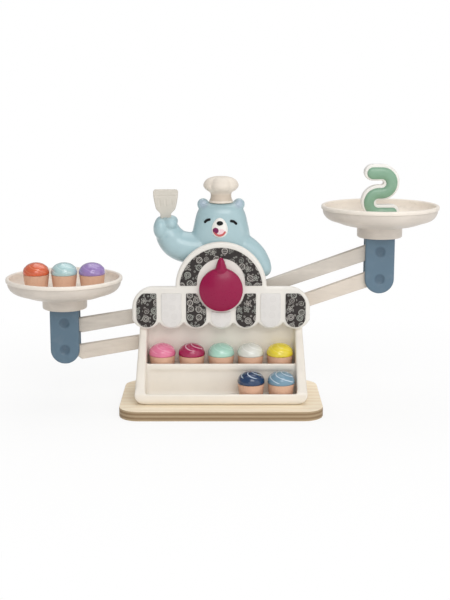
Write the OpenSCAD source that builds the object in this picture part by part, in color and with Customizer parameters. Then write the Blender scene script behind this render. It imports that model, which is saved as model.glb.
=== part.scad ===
// Toy balance scale: two stacked rocking beams carry two upright pan posts, in front of them
// stands a toy shop counter with an awning, a turning pointer and a bear in a cook's hat.
// Origin: on the table, below the beams, with the board's front towards -Y.

/* [Base board] */
// Width of the plywood board
base_w = 200; // [180:1:230]
// Depth of the plywood board
base_d = 119; // [110:1:140]
// Thickness of the plywood board
base_t = 10; // [8:0.5:16]
// Corner radius of the plywood board
base_r = 20; // [8:1:30]
// Distance of the board's back edge behind the beams
base_back = 32; // [30:1:40]

/* [Beams] */
// Length of one beam arm between its pivots
arm_len = 164.5; // [155:0.5:175]
// Angle by which each arm rises outwards when the beam is level
arm_rise = 4.7; // [3:0.1:6]
// Tilt of the beams to either side of level
tilt = 12.9; // [8:0.1:13.5]
// Height of the beam bars
beam_h = 15.4; // [12:0.1:16]
// Thickness of the beam bars
beam_t = 8; // [6:0.5:8.5]
// How far the bars run below the line between their pivots
beam_drop = 1.4; // [1:0.1:2]
// Vertical distance between the two beams
beam_gap = 28; // [26:0.5:32]
// Height of the upper beam's centre pivot above the board
beam_rise = 93.8; // [90:0.2:96]
// Sideways place of the centre pivots
pivot_x = 3.3; // [-4:0.1:4]
// Radius of the centre hubs
hub_r = 9; // [8.5:0.5:10]
// Radius of every pivot pin
pin_r = 2.5; // [1.5:0.1:3]

/* [Pan posts] */
// Width of a post, which is also twice its bottom radius
post_w = 29.6; // [24:0.2:32]
// Depth of a post
post_d = 19; // [17:0.5:22]
// Wall thickness of a post
post_wall = 2.4; // [1.6:0.1:3]
// Distance from the post's top to its upper pivot
post_head = 14; // [10:0.1:16]
// Diameter of the round recess over each pivot
dimple_d = 10; // [6:0.5:12]
// Depth of the round recess over each pivot
dimple_t = 1; // [0.5:0.1:1.2]
// Height of the plug that holds the pan
plug_h = 8; // [5:0.5:9]

/* [Pans] */
// Outer radius of a pan's rim
pan_r = 59; // [52:0.5:62]
// Height of the rim's lip
lip_h = 3.6; // [2:0.1:5]
// Step under the rim's lip
lip_step = 1.4; // [0.5:0.1:2]
// Wall thickness of a pan
pan_wall = 2.2; // [1.6:0.1:3]
// Depth of the pan's flat floor below its rim
pan_depth = 13.5; // [10:0.5:16]
// Radius of the curve between the pan's floor and its side
pan_curve = 9; // [6:0.5:10]
// Height of the whole pan with its collar
pan_h = 32.6; // [31:0.1:38]
// Radius of the collar under the pan
collar_r = 22.6; // [20:0.2:25]
// Height of the collar below the pan's underside
collar_h = 10.6; // [9.6:0.1:14]

/* [Counter] */
// Width of the cheeks beside the trays, at the counter's foot
cheek_w = 10.5; // [8:0.5:14]
// How much narrower each cheek is at the counter's top
counter_taper = 3.5; // [1:0.5:5]
// Height of the counter above the board
counter_h = 86; // [82:1:90]
// Height of the upper tray's floor above the board
upper_floor = 24.6; // [22:0.2:27]
// Height of the lower tray's floor above the board
lower_floor = 3.4; // [2.4:0.1:4]
// Gap between the outer cupcakes and the trays' ends
tray_end_gap = 1.6; // [0.9:0.1:4]
// Height of the front lip above either tray's floor
tray_lip_h = 8.5; // [6:0.5:10]
// Height of the bar between the trays
band_h = 6.6; // [5:0.1:8]
// Wall thickness of the counter
counter_wall = 2.5; // [2:0.1:3]
// Height of the rear deck above the board
deck_h = 36; // [32:0.5:37]

/* [Awning] */
// Thickness of the awning plate
awning_t = 6; // [4:0.2:7]
// How far the awning runs past each side of the counter
awning_over = 4.2; // [2:0.1:7]
// Number of scallops along the awning
scallops = 7; // [7:2:9]
// Margin between the outer scallops and the awning's ends
scallop_margin = 2.05; // [1.5:0.05:4]
// Height of the scallops' lowest points above the board
scallop_low = 67.3; // [66:0.1:69]
// Height of the awning's flat top above the board
awning_top = 111; // [108:0.5:114]
// Radius of the arch above the awning
arch_r = 45.6; // [44:0.2:50]
// Outer radius of the dark half ring on the arch
ring_out_r = 41.6; // [38:0.2:43]
// Inner radius of the dark half ring on the arch, above its straight inner sides
ring_in_r = 24; // [23:0.2:26]
// White gap between two coloured awning panels
panel_gap = 4.7; // [3:0.1:7]
// Thickness of the coloured panels
panel_t = 0.8; // [0.5:0.1:1.2]

/* [Pointer] */
// Radius of the pointer's disc
disc_r = 21.8; // [19:0.1:23]
// Thickness of the pointer's disc at its middle
disc_t = 12; // [10:0.5:14]
// Distance of the pointer's tip from its axis
pointer_reach = 32.6; // [28:0.2:35]
// Radius of the pointer's foot
pointer_foot_r = 5.7; // [4.5:0.1:6]
// Radius of the pointer's tip
pointer_tip_r = 2.3; // [1.5:0.1:3]
// Radius of the pointer's stub axle
stub_r = 4; // [3:0.1:4.4]

/* [Tower] */
// Half width of the tower behind the beams
tower_w = 40; // [34:1:42]
// Thickness of the tower from front to back
tower_t = 13; // [12:0.5:14]
// Wall thickness of the tower
tower_wall = 2.4; // [2:0.1:3]

/* [Bear] */
// Height of the bear's flat underside above the board
bear_low = 115.5; // [115:0.1:117]
// Radius that shapes the bear's head
head_r = 17; // [15:0.5:17.5]
// Radius that shapes the bear's cheeks
cheek_r = 15; // [13:0.5:15.5]
// Radius that shapes the bear's body
body_r = 13.5; // [12:0.5:13.6]
// Radius of an ear
ear_r = 6; // [5:0.2:7]
// Radius of the bear's fist
fist_r = 12.2; // [11:0.1:13]
// Radius of the bear's lowered hand
hand_r = 9.5; // [8:0.1:10]
// Wall thickness of the bear's two halves
bear_wall = 2.6; // [2:0.1:4]
// Radius of the hat's band
hat_band_r = 11.9; // [11:0.1:13]
// Radius of the hat's puffy crown
hat_crown_r = 17.6; // [15:0.1:19]
// Height of the hat
hat_h = 26; // [22:0.5:30]
// Width of the spatula's blade
blade_w = 25.4; // [20:0.2:28]
// Height of the spatula's blade
blade_h = 20; // [17:0.5:24]
// Width of the spatula's handle
handle_w = 10.8; // [8:0.2:12]
// Thickness of the spatula
spatula_t = 4; // [3:0.2:6]

/* [Cupcakes] */
// Largest radius of a cupcake's icing
icing_r = 13.5; // [12:0.1:13.8]
// Height of a cupcake's icing
icing_h = 12.2; // [10:0.1:13]
// Radius at the top of a paper cup
cup_top_r = 13.1; // [11:0.1:13.4]
// Radius at the bottom of a paper cup
cup_low_r = 11.2; // [8:0.1:12]
// Height of a paper cup
cup_h = 15.8; // [14:0.1:16]
// Gap between cupcakes in a tray
cake_gap = 2.7; // [0.6:0.1:5]
// Gap between cupcakes on the pan
pan_cake_gap = 1.4; // [0.6:0.1:3]

/* [Number] */
// Height of the number weight
number_h = 54.6; // [45:0.2:60]
// Width of the number weight
number_w = 36; // [30:0.2:40]
// Stroke width of the number weight
number_stroke = 12.5; // [10:0.1:13]
// Thickness of the number's white body
number_t = 9; // [6:0.5:12]
// Thickness of the number's coloured face
number_face_t = 3; // [2:0.2:4]
// Inset of the coloured face from the body's edge
number_inset = 0.8; // [0.4:0.1:1.5]

/* [Fasteners] */
// Radius of a screw's shank
screw_r = 1.5; // [1:0.1:1.8]
// Radius of a screw's head
screw_head_r = 3; // [2.5:0.1:3.5]
// Height of a screw's head
screw_head_h = 1.6; // [1:0.1:2]
// Length of a screw below its head
screw_len = 12; // [11:0.5:13]
// Radius of the bosses that take screws
boss_r = 4; // [3.5:0.1:5]

/* [Hidden] */

$fn = 64;
// Radial clearance of a turning pin, and of a fixed one
turn_fit = 0.08;
fixed_fit = 0.02;
// Clearance between faces that slide past each other
side_gap = 0.3;
// How far a cutting shape runs past the face that it cuts
past = 1;
// Facets on the bear's balls and on its hull's balls
ball_fn = 24;

upper_z = base_t + beam_rise;
lower_z = upper_z - beam_gap;
right_angle = arm_rise + tilt;
left_angle = arm_rise - tilt;
right_x = pivot_x + arm_len * cos(right_angle);
left_x = pivot_x - arm_len * cos(left_angle);
right_z = upper_z + arm_len * sin(right_angle);
left_z = upper_z + arm_len * sin(left_angle);
rim_up = post_head + pan_h;

// Planes from front to back, counted along Y
beam_front = -beam_t / 2;
bay_gap = 2;
wall_back = beam_front - bay_gap;
wall_front = wall_back - counter_wall;
awning_reach = 9.5;
awning_back = wall_front - awning_reach;
awning_front = awning_back - awning_t;
panel_front = awning_front - panel_t;
tower_front = beam_t / 2 + bay_gap + side_gap;
tower_back = tower_front + tower_t;

// Five cupcakes stand in the upper tray, and the counter and the awning follow their row
cake_pitch = 2 * icing_r + cake_gap;
pan_cake_pitch = 2 * icing_r + pan_cake_gap;
tray_w = 2 * cake_pitch + icing_r + tray_end_gap;
counter_foot_w = tray_w + cheek_w;
counter_top_w = counter_foot_w - counter_taper;
awning_w = counter_foot_w + awning_over;
scallop_pitch = 2 * (awning_w - scallop_margin) / scallops;
panel_w = scallop_pitch - panel_gap;

counter_low = base_t;
counter_top = base_t + counter_h;
deck_z = base_t + deck_h;
upper_floor_z = base_t + upper_floor;
lower_floor_z = base_t + lower_floor;
cake_room = icing_r + side_gap;
upper_cake_y = wall_front - cake_room;
upper_lip_back = upper_cake_y - cake_room;
upper_lip_t = 3;
recess_skin = 1;
upper_lip_front = upper_lip_back - upper_lip_t;
lip_extra = 2;
upper_lip_z = upper_floor_z + tray_lip_h + lip_extra;
// The lower cupcakes stand just before the upper lip, and the front lip clears their cups
lower_lip_t = 2.5;
lower_cake_y = upper_lip_front - cake_room;
cup_lip_r = cup_low_r + (cup_top_r - cup_low_r) * tray_lip_h / cup_h;
lower_lip_back = lower_cake_y - cup_lip_r - side_gap;
lower_lip_z = lower_floor_z + tray_lip_h;
lower_wall_y = upper_lip_back - recess_skin;
counter_front = lower_lip_t - lower_lip_back;
face_foot_h = lower_floor + tray_lip_h;
face_top_gap = 2;
face_top_drop = 24;
face_top_y = awning_back - face_top_gap;
face_top_z = counter_top - face_top_drop;
foot_round = 8;
foot_edge = 3.6;
deck_margin = 2;
counter_back = tower_back + deck_margin;

awning_top_z = base_t + awning_top;
scallop_low_z = base_t + scallop_low;
arch_drop = 0.7;
disc_drop = 1.8;
scallop_bulge = 3.2;
arch_z = awning_top_z - arch_drop;
disc_z = arch_z - disc_drop;
scallop_r = scallop_pitch / 2 + scallop_bulge;
panel_top_gap = 7;
panel_low_gap = 2;
panel_edge_gap = 3.4;
ring_drop = 1.7;
ring_rise = 5.2;
ring_foot = 1.5;
lobe_z = scallop_low_z + scallop_r;
corner_r = 22;

pointer_y = panel_front - side_gap - pointer_foot_r;
disc_back = awning_front - side_gap;
disc_rim_t = 6;
washer_t = 1;
washer_r = 6;

tower_top = base_t + bear_low;
tower_round = 14;
axle_seat = 7;
cover_t = 2;

bear_y = -2;
bear_z = base_t + bear_low;
head_x = 7;
head_up = 61.5;
head_z = bear_z + head_up;
head_flat = 16;
cheek_x = 12.8;
cheek_up = 50.5;
cheek_z = bear_z + cheek_up;
cheek_ys = [-2, 5];
body_x = 13.2;
body_high_gap = 12;
body_low_gap = 2;
body_high = cheek_z - body_high_gap;
body_low = bear_z + body_low_gap;
body_ys = [-2, 6];
shoulder_x = 20;
shoulder_up = 34;
shoulder_z = bear_z + shoulder_up;
shoulder_r = 13;
elbow_x = -48;
elbow_up = 0.5;
elbow = [elbow_x, bear_y, shoulder_z + elbow_up];
elbow_r = 12.4;
fist_x = -55.5;
fist_up = 17.5;
fist = [fist_x, bear_y, shoulder_z + fist_up];
hand_x = 41.5;
hand_up = 13.5;
hand = [hand_x, bear_y, bear_z + hand_up];
ear_x = 17.9;
ear_up = 14;
ear_z = head_z + ear_up;
bear_peg_x = 12;

blade_low_w = 19;
spatula_seat = 3;
spatula_low = fist[2] + spatula_seat;
handle_h = 16;
shoulder_h = 4.5;
hat_low = head_z + head_flat;
hat_neck_r = 10.7;
hat_band_h = 9;
hat_ball_r = 8;

pan_foot = pan_h - collar_h;
plug_w = 24;
plug_d = 14;
plug_fit = 0.1;
number_turn = 12;

cream = [0.93, 0.90, 0.85];
shell_cream = [0.86, 0.82, 0.77];
post_blue = [0.37, 0.47, 0.54];
bear_blue = [0.67, 0.78, 0.82];
plywood = [0.91, 0.83, 0.73];
dark = [0.20, 0.17, 0.16];
steel = [0.7, 0.7, 0.72];
berry = [0.63, 0.12, 0.33];
cup_tan = [0.85, 0.66, 0.52];

// Extrudes a front view outline, drawn in X and Z, from y_front backwards by depth
module upright(y_front, depth) {
    translate([0, y_front + depth, 0]) rotate([90, 0, 0]) linear_extrude(depth) children();
}

// Extrudes a side view outline, drawn in Y and Z, across x from -half to half
module across(half) {
    translate([-half, 0, 0]) rotate([90, 0, 90]) linear_extrude(2 * half) children();
}

// A round rod along Y
module rod(x, y_front, z, r, depth) {
    translate([x, y_front, z]) rotate([-90, 0, 0]) cylinder(h = depth, r = r);
}

// A box from its low corner to its high corner
module block(low, high) {
    translate(low) cube(high - low);
}

module base_board() {
    color(plywood) translate([0, base_back - base_d / 2, 0]) difference() {
        linear_extrude(base_t) board_outline();
        translate([0, base_d / 2 - base_back, 0]) for (p = base_screw_places) {
            translate([p[0], p[1], -past]) cylinder(h = base_t + 2 * past, r = screw_r + turn_fit);
            translate([p[0], p[1], -past]) cylinder(h = past + screw_sink, r = screw_head_r + side_gap);
        }
    }
}

module board_outline() {
    square([base_w - 2 * base_r, base_d], center = true);
    square([base_w, base_d - 2 * base_r], center = true);
    for (x = [-1, 1], y = [-1, 1])
        translate([x * (base_w / 2 - base_r), y * (base_d / 2 - base_r)]) circle(base_r);
}

screw_sink = 4;
base_screw_inset = 22;
base_screw_x = counter_foot_w - base_screw_inset;
rear_screw_y = counter_back - 2 * boss_r;
front_screw_y = lower_wall_y + 2 * boss_r;
rear_boss_top = deck_z - counter_wall;
front_boss_top = upper_floor_z - counter_wall;
// Across, along and the top of the boss above each board screw
base_screw_places = [
    [-base_screw_x, rear_screw_y, rear_boss_top], [base_screw_x, rear_screw_y, rear_boss_top],
    [-base_screw_x, front_screw_y, front_boss_top], [base_screw_x, front_screw_y, front_boss_top]
];
deck_screw_x = tower_w - 2 * boss_r;
deck_screw_y = (tower_front + tower_back) / 2;
cover_screw_places = [
    [-tower_w + 2 * boss_r, deck_z + 3 * boss_r], [tower_w - 2 * boss_r, deck_z + 3 * boss_r],
    [-tower_w + 2 * boss_r, upper_z], [tower_w - 2 * boss_r, upper_z]
];
awning_screw_places = [
    [-counter_top_w + 2 * boss_r, counter_top - 2 * boss_r],
    [counter_top_w - 2 * boss_r, counter_top - 2 * boss_r]
];

// Front view of the counter: it widens towards its foot, with round lower corners
module counter_outline() {
    low = counter_foot_w - foot_round;
    polygon([
        [-low, counter_low], [low, counter_low], [counter_foot_w, counter_low + foot_round],
        [counter_top_w, counter_top], [-counter_top_w, counter_top],
        [-counter_foot_w, counter_low + foot_round]
    ]);
    for (s = [-1, 1]) translate([s * low, counter_low + foot_round]) circle(foot_round);
}

// Side view of the counter: a deck behind, a tall wall, and a face that slants to the lower lip's top
module counter_side() {
    polygon([
        [counter_back, counter_low], [counter_back, deck_z], [wall_back, deck_z],
        [wall_back, counter_top], [awning_back, counter_top], [awning_back, face_top_z + foot_edge],
        [face_top_y, face_top_z], [-counter_front, counter_low + face_foot_h],
        [-counter_front, counter_low + foot_edge], [-counter_front + foot_edge, counter_low]
    ]);
}

module counter() {
    color(cream) difference() {
        union() {
            difference() {
                intersection() {
                    across(counter_foot_w + past) counter_side();
                    upright(-counter_front - past, counter_front + counter_back + 2 * past)
                        counter_outline();
                }
                across(tray_w) upper_tray_cut();
                across(tray_w) lower_tray_cut();
                across(counter_top_w - counter_wall) counter_hollow();
            }
            // A lug behind the arch holds the front ends of both beam axles
            upright(wall_front, counter_wall) {
                translate([pivot_x, upper_z]) circle(hub_r);
                translate([pivot_x - hub_r, counter_top - hub_r])
                    square([2 * hub_r, upper_z - counter_top + hub_r]);
            }
            for (p = base_screw_places)
                translate([p[0], p[1], counter_low]) cylinder(h = p[2] - counter_low, r = boss_r);
        }
        for (z = [upper_z, lower_z])
            rod(pivot_x, wall_front - past, z, pin_r + fixed_fit, counter_wall + 2 * past);
        for (p = base_screw_places)
            translate([p[0], p[1], counter_low - past]) cylinder(h = screw_len + past, r = screw_r);
        for (s = [-1, 1])
            translate([s * deck_screw_x, deck_screw_y, deck_z - 2 * counter_wall])
                cylinder(h = 3 * counter_wall, r = screw_r + turn_fit);
        for (p = awning_screw_places)
            rod(p[0], awning_back - past, p[1], screw_r + turn_fit, wall_back - awning_back + 2 * past);
    }
}

module upper_tray_cut() {
    polygon([
        [wall_front, upper_floor_z], [wall_front, counter_top + past],
        [-counter_front - past, counter_top + past], [-counter_front - past, upper_lip_z],
        [upper_lip_back, upper_lip_z], [upper_lip_back, upper_floor_z]
    ]);
}

module lower_tray_cut() {
    band_low = upper_lip_z - band_h;
    polygon([
        [lower_lip_back, lower_floor_z], [lower_wall_y, lower_floor_z], [lower_wall_y, band_low],
        [upper_lip_front, band_low], [upper_lip_front, upper_lip_z + past],
        [-counter_front - past, upper_lip_z + past], [-counter_front - past, lower_lip_z],
        [lower_lip_back, lower_lip_z]
    ]);
}

// The room under the trays and the deck, open towards the board
module counter_hollow() {
    polygon([
        [lower_wall_y + counter_wall, counter_low - past],
        [lower_wall_y + counter_wall, upper_floor_z - counter_wall],
        [wall_front, upper_floor_z - counter_wall], [wall_front, deck_z - counter_wall],
        [counter_back - counter_wall, deck_z - counter_wall],
        [counter_back - counter_wall, counter_low - past]
    ]);
}

module tower_outline(inset) {
    w = tower_w - inset;
    low = deck_z + inset;
    high = tower_top - inset;
    r = tower_round - inset;
    translate([-w, low]) square([2 * w, high - low - r]);
    translate([-w + r, low]) square([2 * (w - r), high - low]);
    for (s = [-1, 1]) translate([s * (w - r), high - r]) circle(r);
}

// A box behind the beams, open at its back, whose front wall holds the axles
module pivot_tower() {
    color(cream) difference() {
        union() {
            difference() {
                upright(tower_front, tower_t - cover_t) tower_outline(0);
                upright(tower_front + tower_wall, tower_t) tower_outline(tower_wall);
            }
            for (z = [upper_z, lower_z])
                rod(pivot_x, tower_front, z, hub_r - side_gap, tower_wall + axle_seat);
            for (p = cover_screw_places) rod(p[0], tower_front, p[1], boss_r, tower_t - cover_t);
            for (s = [-1, 1]) translate([s * deck_screw_x, deck_screw_y, deck_z])
                cylinder(h = deck_boss_h, r = boss_r);
            for (s = [-1, 1]) translate([s * bear_peg_x, deck_screw_y, tower_top - tower_wall - past])
                cylinder(h = tower_wall, r = boss_r);
        }
        for (z = [upper_z, lower_z])
            rod(pivot_x, tower_front - past, z, pin_r + fixed_fit, past + axle_seat);
        for (p = cover_screw_places)
            rod(p[0], tower_back - cover_t - screw_len + cover_t + screw_room, p[1], screw_r, screw_len);
        for (s = [-1, 1]) translate([s * deck_screw_x, deck_screw_y, deck_z - past])
            cylinder(h = screw_len, r = screw_r);
        for (s = [-1, 1]) translate([s * bear_peg_x, deck_screw_y, tower_top - 3 * tower_wall])
            cylinder(h = 4 * tower_wall, r = screw_r + turn_fit);
    }
}

deck_boss_h = 12;
screw_room = 1;

module rear_cover() {
    color(cream) difference() {
        upright(tower_back - cover_t, cover_t) tower_outline(0);
        for (p = cover_screw_places)
            rod(p[0], tower_back - cover_t - past, p[1], screw_r + turn_fit, cover_t + 2 * past);
    }
}

// Front view of the awning and its arch, drawn in X and Z
module awning_outline(inset) {
    w = awning_w - inset;
    high = awning_top_z - inset;
    r = corner_r - inset;
    shoulder = high - r;
    translate([-w, lobe_z]) square([2 * w, shoulder - lobe_z]);
    translate([-w + r, lobe_z]) square([2 * (w - r), high - lobe_z]);
    for (s = [-1, 1]) translate([s * (w - r), shoulder]) circle(r);
    translate([0, arch_z]) circle(arch_r - inset);
    for (i = [0:scallops - 1]) intersection() {
        translate([scallop_x(i), lobe_z]) circle(scallop_r - inset);
        translate([-w, scallop_low_z - past]) square([2 * w, scallop_r + 2 * past]);
    }
}

function scallop_x(i) = (i - (scallops - 1) / 2) * scallop_pitch;

module awning_plate() {
    color(cream) difference() {
        upright(awning_front, awning_t) awning_outline(0);
        rod(0, awning_front - past, disc_z, stub_r + turn_fit, awning_t + 2 * past);
        for (p = awning_screw_places)
            rod(p[0], awning_back - screw_bite, p[1], screw_r, screw_bite + past);
    }
}

screw_bite = 4;

module arch_ring() {
    color(dark) upright(panel_front, panel_t) difference() {
        translate([0, arch_z - ring_drop]) circle(ring_out_r);
        translate([0, arch_z + ring_rise]) circle(ring_in_r);
        translate([-ring_in_r, arch_z]) square([2 * ring_in_r, ring_rise]);
        translate([-arch_r, arch_z + ring_foot - 2 * arch_r]) square([2 * arch_r, 2 * arch_r]);
    }
}

// One hanging panel with a round lower end, kept clear of the pointer's surround
module awning_panel(i) {
    x = scallop_x(i);
    r = panel_w / 2;
    low = scallop_low_z + panel_low_gap + r;
    high = awning_top_z - panel_top_gap;
    edge_r = corner_r - panel_edge_gap;
    outer = abs(x) > awning_w - scallop_pitch;
    upright(panel_front, panel_t) difference() {
        intersection() {
            union() {
                translate([x, low]) circle(r);
                translate([x - r, low]) square([panel_w, high - low]);
            }
            if (outer) translate([sign(x) * (awning_w - corner_r), awning_top_z - corner_r]) union() {
                circle(edge_r);
                translate([-corner_r, -2 * corner_r]) square([corner_r + edge_r, 2 * corner_r]);
            }
            else translate([x - panel_w, scallop_low_z]) square([2 * panel_w, high - scallop_low_z]);
        }
        translate([0, disc_z]) circle(disc_surround_r);
    }
}

// The middle panel lies behind the pointer's disc, so it is cut short there
surround_gap = 2.4;
disc_surround_r = disc_r + surround_gap;

module dark_awning_panels() {
    color(dark) for (i = [0:2:scallops - 1]) awning_panel(i);
}

module light_awning_panels() {
    color([0.97, 0.96, 0.94]) for (i = [1:2:scallops - 2]) awning_panel(i);
}

// A domed disc with a nozzle on its upper edge, and a stub that turns in the awning plate
module pointer_knob() {
    steps = 10;
    dome = disc_t - disc_rim_t;
    ball_r = (disc_r * disc_r + dome * dome) / (2 * dome);
    dome_angle = asin(disc_r / ball_r);
    nozzle_low = disc_r - pointer_foot_r;
    nozzle_h = pointer_reach - nozzle_low;
    color(berry) difference() {
        union() {
            translate([0, disc_back, disc_z]) rotate([90, 0, 0]) rotate_extrude() polygon(concat(
                [[0, 0], [disc_r, 0]],
                [for (i = [0:steps - 1]) let (a = dome_angle * (1 - i / steps))
                    [ball_r * sin(a), disc_t - ball_r + ball_r * cos(a)]],
                [[0, disc_t]]));
            translate([0, pointer_y, disc_z + nozzle_low]) rotate_extrude() polygon(concat(
                [[0, 0], [pointer_foot_r, 0]],
                [for (i = [0:steps - 1]) let (a = 90 * i / steps)
                    [pointer_tip_r * cos(a), nozzle_h - pointer_tip_r + pointer_tip_r * sin(a)]],
                [[0, nozzle_h]]));
            rod(0, disc_back - past, disc_z, stub_r, awning_t + side_gap + past);
        }
        rod(0, awning_back - screw_len + washer_t, disc_z, screw_r, screw_len);
    }
}

module pointer_washer() {
    color(steel) difference() {
        rod(0, awning_back, disc_z, washer_r, washer_t);
        rod(0, awning_back - past, disc_z, screw_r + turn_fit, washer_t + 2 * past);
    }
}

module pointer_screw() {
    color(steel) {
        rod(0, awning_back + washer_t - screw_len + past, disc_z, screw_r, screw_len - past);
        rod(0, awning_back + washer_t, disc_z, screw_head_r, screw_head_h);
    }
}

// Front view of a beam about its centre pivot: two rising arms with round ends
module beam_outline() {
    translate([0, -beam_drop]) circle(beam_h / 2);
    rotate(right_angle) arm_outline();
    mirror([1, 0]) rotate(left_angle) arm_outline();
}

module arm_outline() {
    translate([0, -beam_h / 2 - beam_drop]) square([arm_len, beam_h]);
    translate([arm_len, -beam_drop]) circle(beam_h / 2);
}

module beam(z) {
    color(shell_cream) difference() {
        union() {
            translate([pivot_x, 0, z]) upright(-beam_t / 2, beam_t) beam_outline();
            rod(pivot_x, wall_back + side_gap, z, hub_r, tower_front - wall_back - 2 * side_gap);
        }
        rod(pivot_x, wall_back - past, z, pin_r + turn_fit, tower_front - wall_back + 2 * past);
        for (end = [[right_x, right_z], [left_x, left_z]])
            rod(end[0], -beam_t, end[1] + z - upper_z, pin_r + turn_fit, 2 * beam_t);
    }
}

module upper_beam() {
    beam(upper_z);
}

module lower_beam() {
    beam(lower_z);
}

module beam_axle(z) {
    color(steel) rod(pivot_x, wall_front, z, pin_r, tower_front + axle_seat - past - wall_front);
}

module upper_beam_axle() {
    beam_axle(upper_z);
}

module lower_beam_axle() {
    beam_axle(lower_z);
}

// Front view of a post about its upper pivot
module post_outline(inset) {
    r = post_w / 2 - inset;
    translate([0, -beam_gap]) circle(r);
    translate([-r, -beam_gap]) square([2 * r, beam_gap + post_head - inset]);
}

// Half of a post about its upper pivot: the front half when side is -1, its back one when 1.
// Its wall is open on the inner side, where inward points, for the beams to swing in.
module post_half(side, inward) {
    depth = post_d / 2;
    hollow = depth - post_wall;
    seat = beam_t / 2 + side_gap;
    slot_low = -beam_gap - post_w;
    color(post_blue) mirror([0, side > 0 ? 1 : 0, 0]) difference() {
        union() {
            difference() {
                upright(-depth, depth) post_outline(0);
                upright(-hollow, depth) post_outline(post_wall);
            }
            for (z = [0, -beam_gap]) rod(0, -depth, z, 2 * pin_r, depth - seat);
            // Half of the plug that the pan's collar fits over
            block([-plug_w / 2, -plug_d / 2, post_head - post_wall], [plug_w / 2, 0, post_head + plug_h]);
        }
        block([inward > 0 ? slot_x : -post_w, -seat, slot_low],
              [inward > 0 ? post_w : -slot_x, past, post_head - slot_roof]);
        for (z = [0, -beam_gap]) {
            rod(0, -depth + dimple_t + dimple_floor, z, pin_r + fixed_fit, depth);
            rod(0, -depth - past, z, dimple_d / 2, past + dimple_t);
        }
    }
}

slot_x = 5;
slot_roof = 0.8;
dimple_floor = 1;

module post_pins(x, z) {
    reach = post_d / 2 - dimple_t - dimple_floor;
    color(steel) for (drop = [0, beam_gap]) rod(x, -reach, z - drop, pin_r, 2 * reach);
}

module left_post_front() {
    translate([left_x, 0, left_z]) post_half(-1, 1);
}

module left_post_rear() {
    translate([left_x, 0, left_z]) post_half(1, 1);
}

module left_post_pins() {
    post_pins(left_x, left_z);
}

module right_post_front() {
    translate([right_x, 0, right_z]) post_half(-1, -1);
}

module right_post_rear() {
    translate([right_x, 0, right_z]) post_half(1, -1);
}

module right_post_pins() {
    post_pins(right_x, right_z);
}

// A round dish with a lipped rim and a collar below, about the middle of its rim
module pan() {
    side_r = pan_r - lip_step;
    floor_r = side_r - pan_wall;
    turn_r = pan_curve;
    steps = 8;
    inner_arc = [for (i = [0:steps]) let (a = 90 * i / steps)
        [floor_r - turn_r + turn_r * cos(a), -pan_depth + turn_r - turn_r * sin(a)]];
    outer_r = turn_r + pan_wall;
    outer_arc = [for (i = [0:steps]) let (a = 90 - 90 * i / steps)
        [side_r - outer_r + outer_r * cos(a), -pan_depth - pan_wall + outer_r - outer_r * sin(a)]];
    color(shell_cream) difference() {
        rotate_extrude($fn = 128) polygon(concat(
            [[0, -pan_depth]], [for (i = [steps:-1:0]) inner_arc[i]],
            [[floor_r, -rim_round], [floor_r + rim_round, 0], [pan_r - rim_round, 0],
             [pan_r, -rim_round], [pan_r, -lip_h], [side_r, -lip_h]],
            [for (i = [steps:-1:1]) outer_arc[i]],
            [[side_r - outer_r, -pan_depth - pan_wall - under_drop], [under_r, -under_z],
             [collar_r, -pan_foot], [collar_r, collar_round - pan_h],
             [collar_r - collar_round, -pan_h], [0, -pan_h]]));
        // The socket for the post's plug
        block([-plug_w / 2 - plug_fit, -plug_d / 2 - plug_fit, -pan_h - past],
              [plug_w / 2 + plug_fit, plug_d / 2 + plug_fit, plug_h + plug_fit - pan_h]);
        for (s = [-1, 1]) block([s > 0 ? plug_room : -collar_r + pan_wall, -plug_d / 2, -pan_h - past],
                                [s > 0 ? collar_r - pan_wall : -plug_room, plug_d / 2, -pan_foot]);
    }
}

rim_round = 0.8;
collar_round = 1.6;
under_drop = 1;
under_r = 36;
under_z = 20.3;
plug_room = plug_w / 2 + pan_wall;

module left_pan() {
    translate([left_x, 0, left_z + rim_up]) pan();
}

module right_pan() {
    translate([right_x, 0, right_z + rim_up]) pan();
}

// A ball for the bear, made smaller by the wall where the inside is cut
module bear_ball(place, r, less) {
    translate(place) sphere(r - less, $fn = ball_fn);
}

module bear_trunk(less) {
    hull() for (s = [-1, 1]) {
        bear_ball([s * head_x, bear_y, head_z], head_r, less);
        for (y = cheek_ys) bear_ball([s * cheek_x, bear_y + y, cheek_z], cheek_r, less);
    }
    hull() for (s = [-1, 1], y = body_ys, z = [body_low, body_high])
        bear_ball([s * body_x, bear_y + y, z], body_r, less);
}

module bear_limbs() {
    hull() {
        bear_ball([-shoulder_x, bear_y, shoulder_z], shoulder_r, 0);
        bear_ball(elbow, elbow_r, 0);
    }
    hull() {
        bear_ball(elbow, elbow_r, 0);
        bear_ball(fist, fist_r, 0);
    }
    hull() {
        bear_ball([shoulder_x, bear_y, shoulder_z], shoulder_r, 0);
        bear_ball(hand, hand_r, 0);
    }
    for (s = [-1, 1]) bear_ball([s * ear_x, bear_y, ear_z], ear_r, 0);
}

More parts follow.
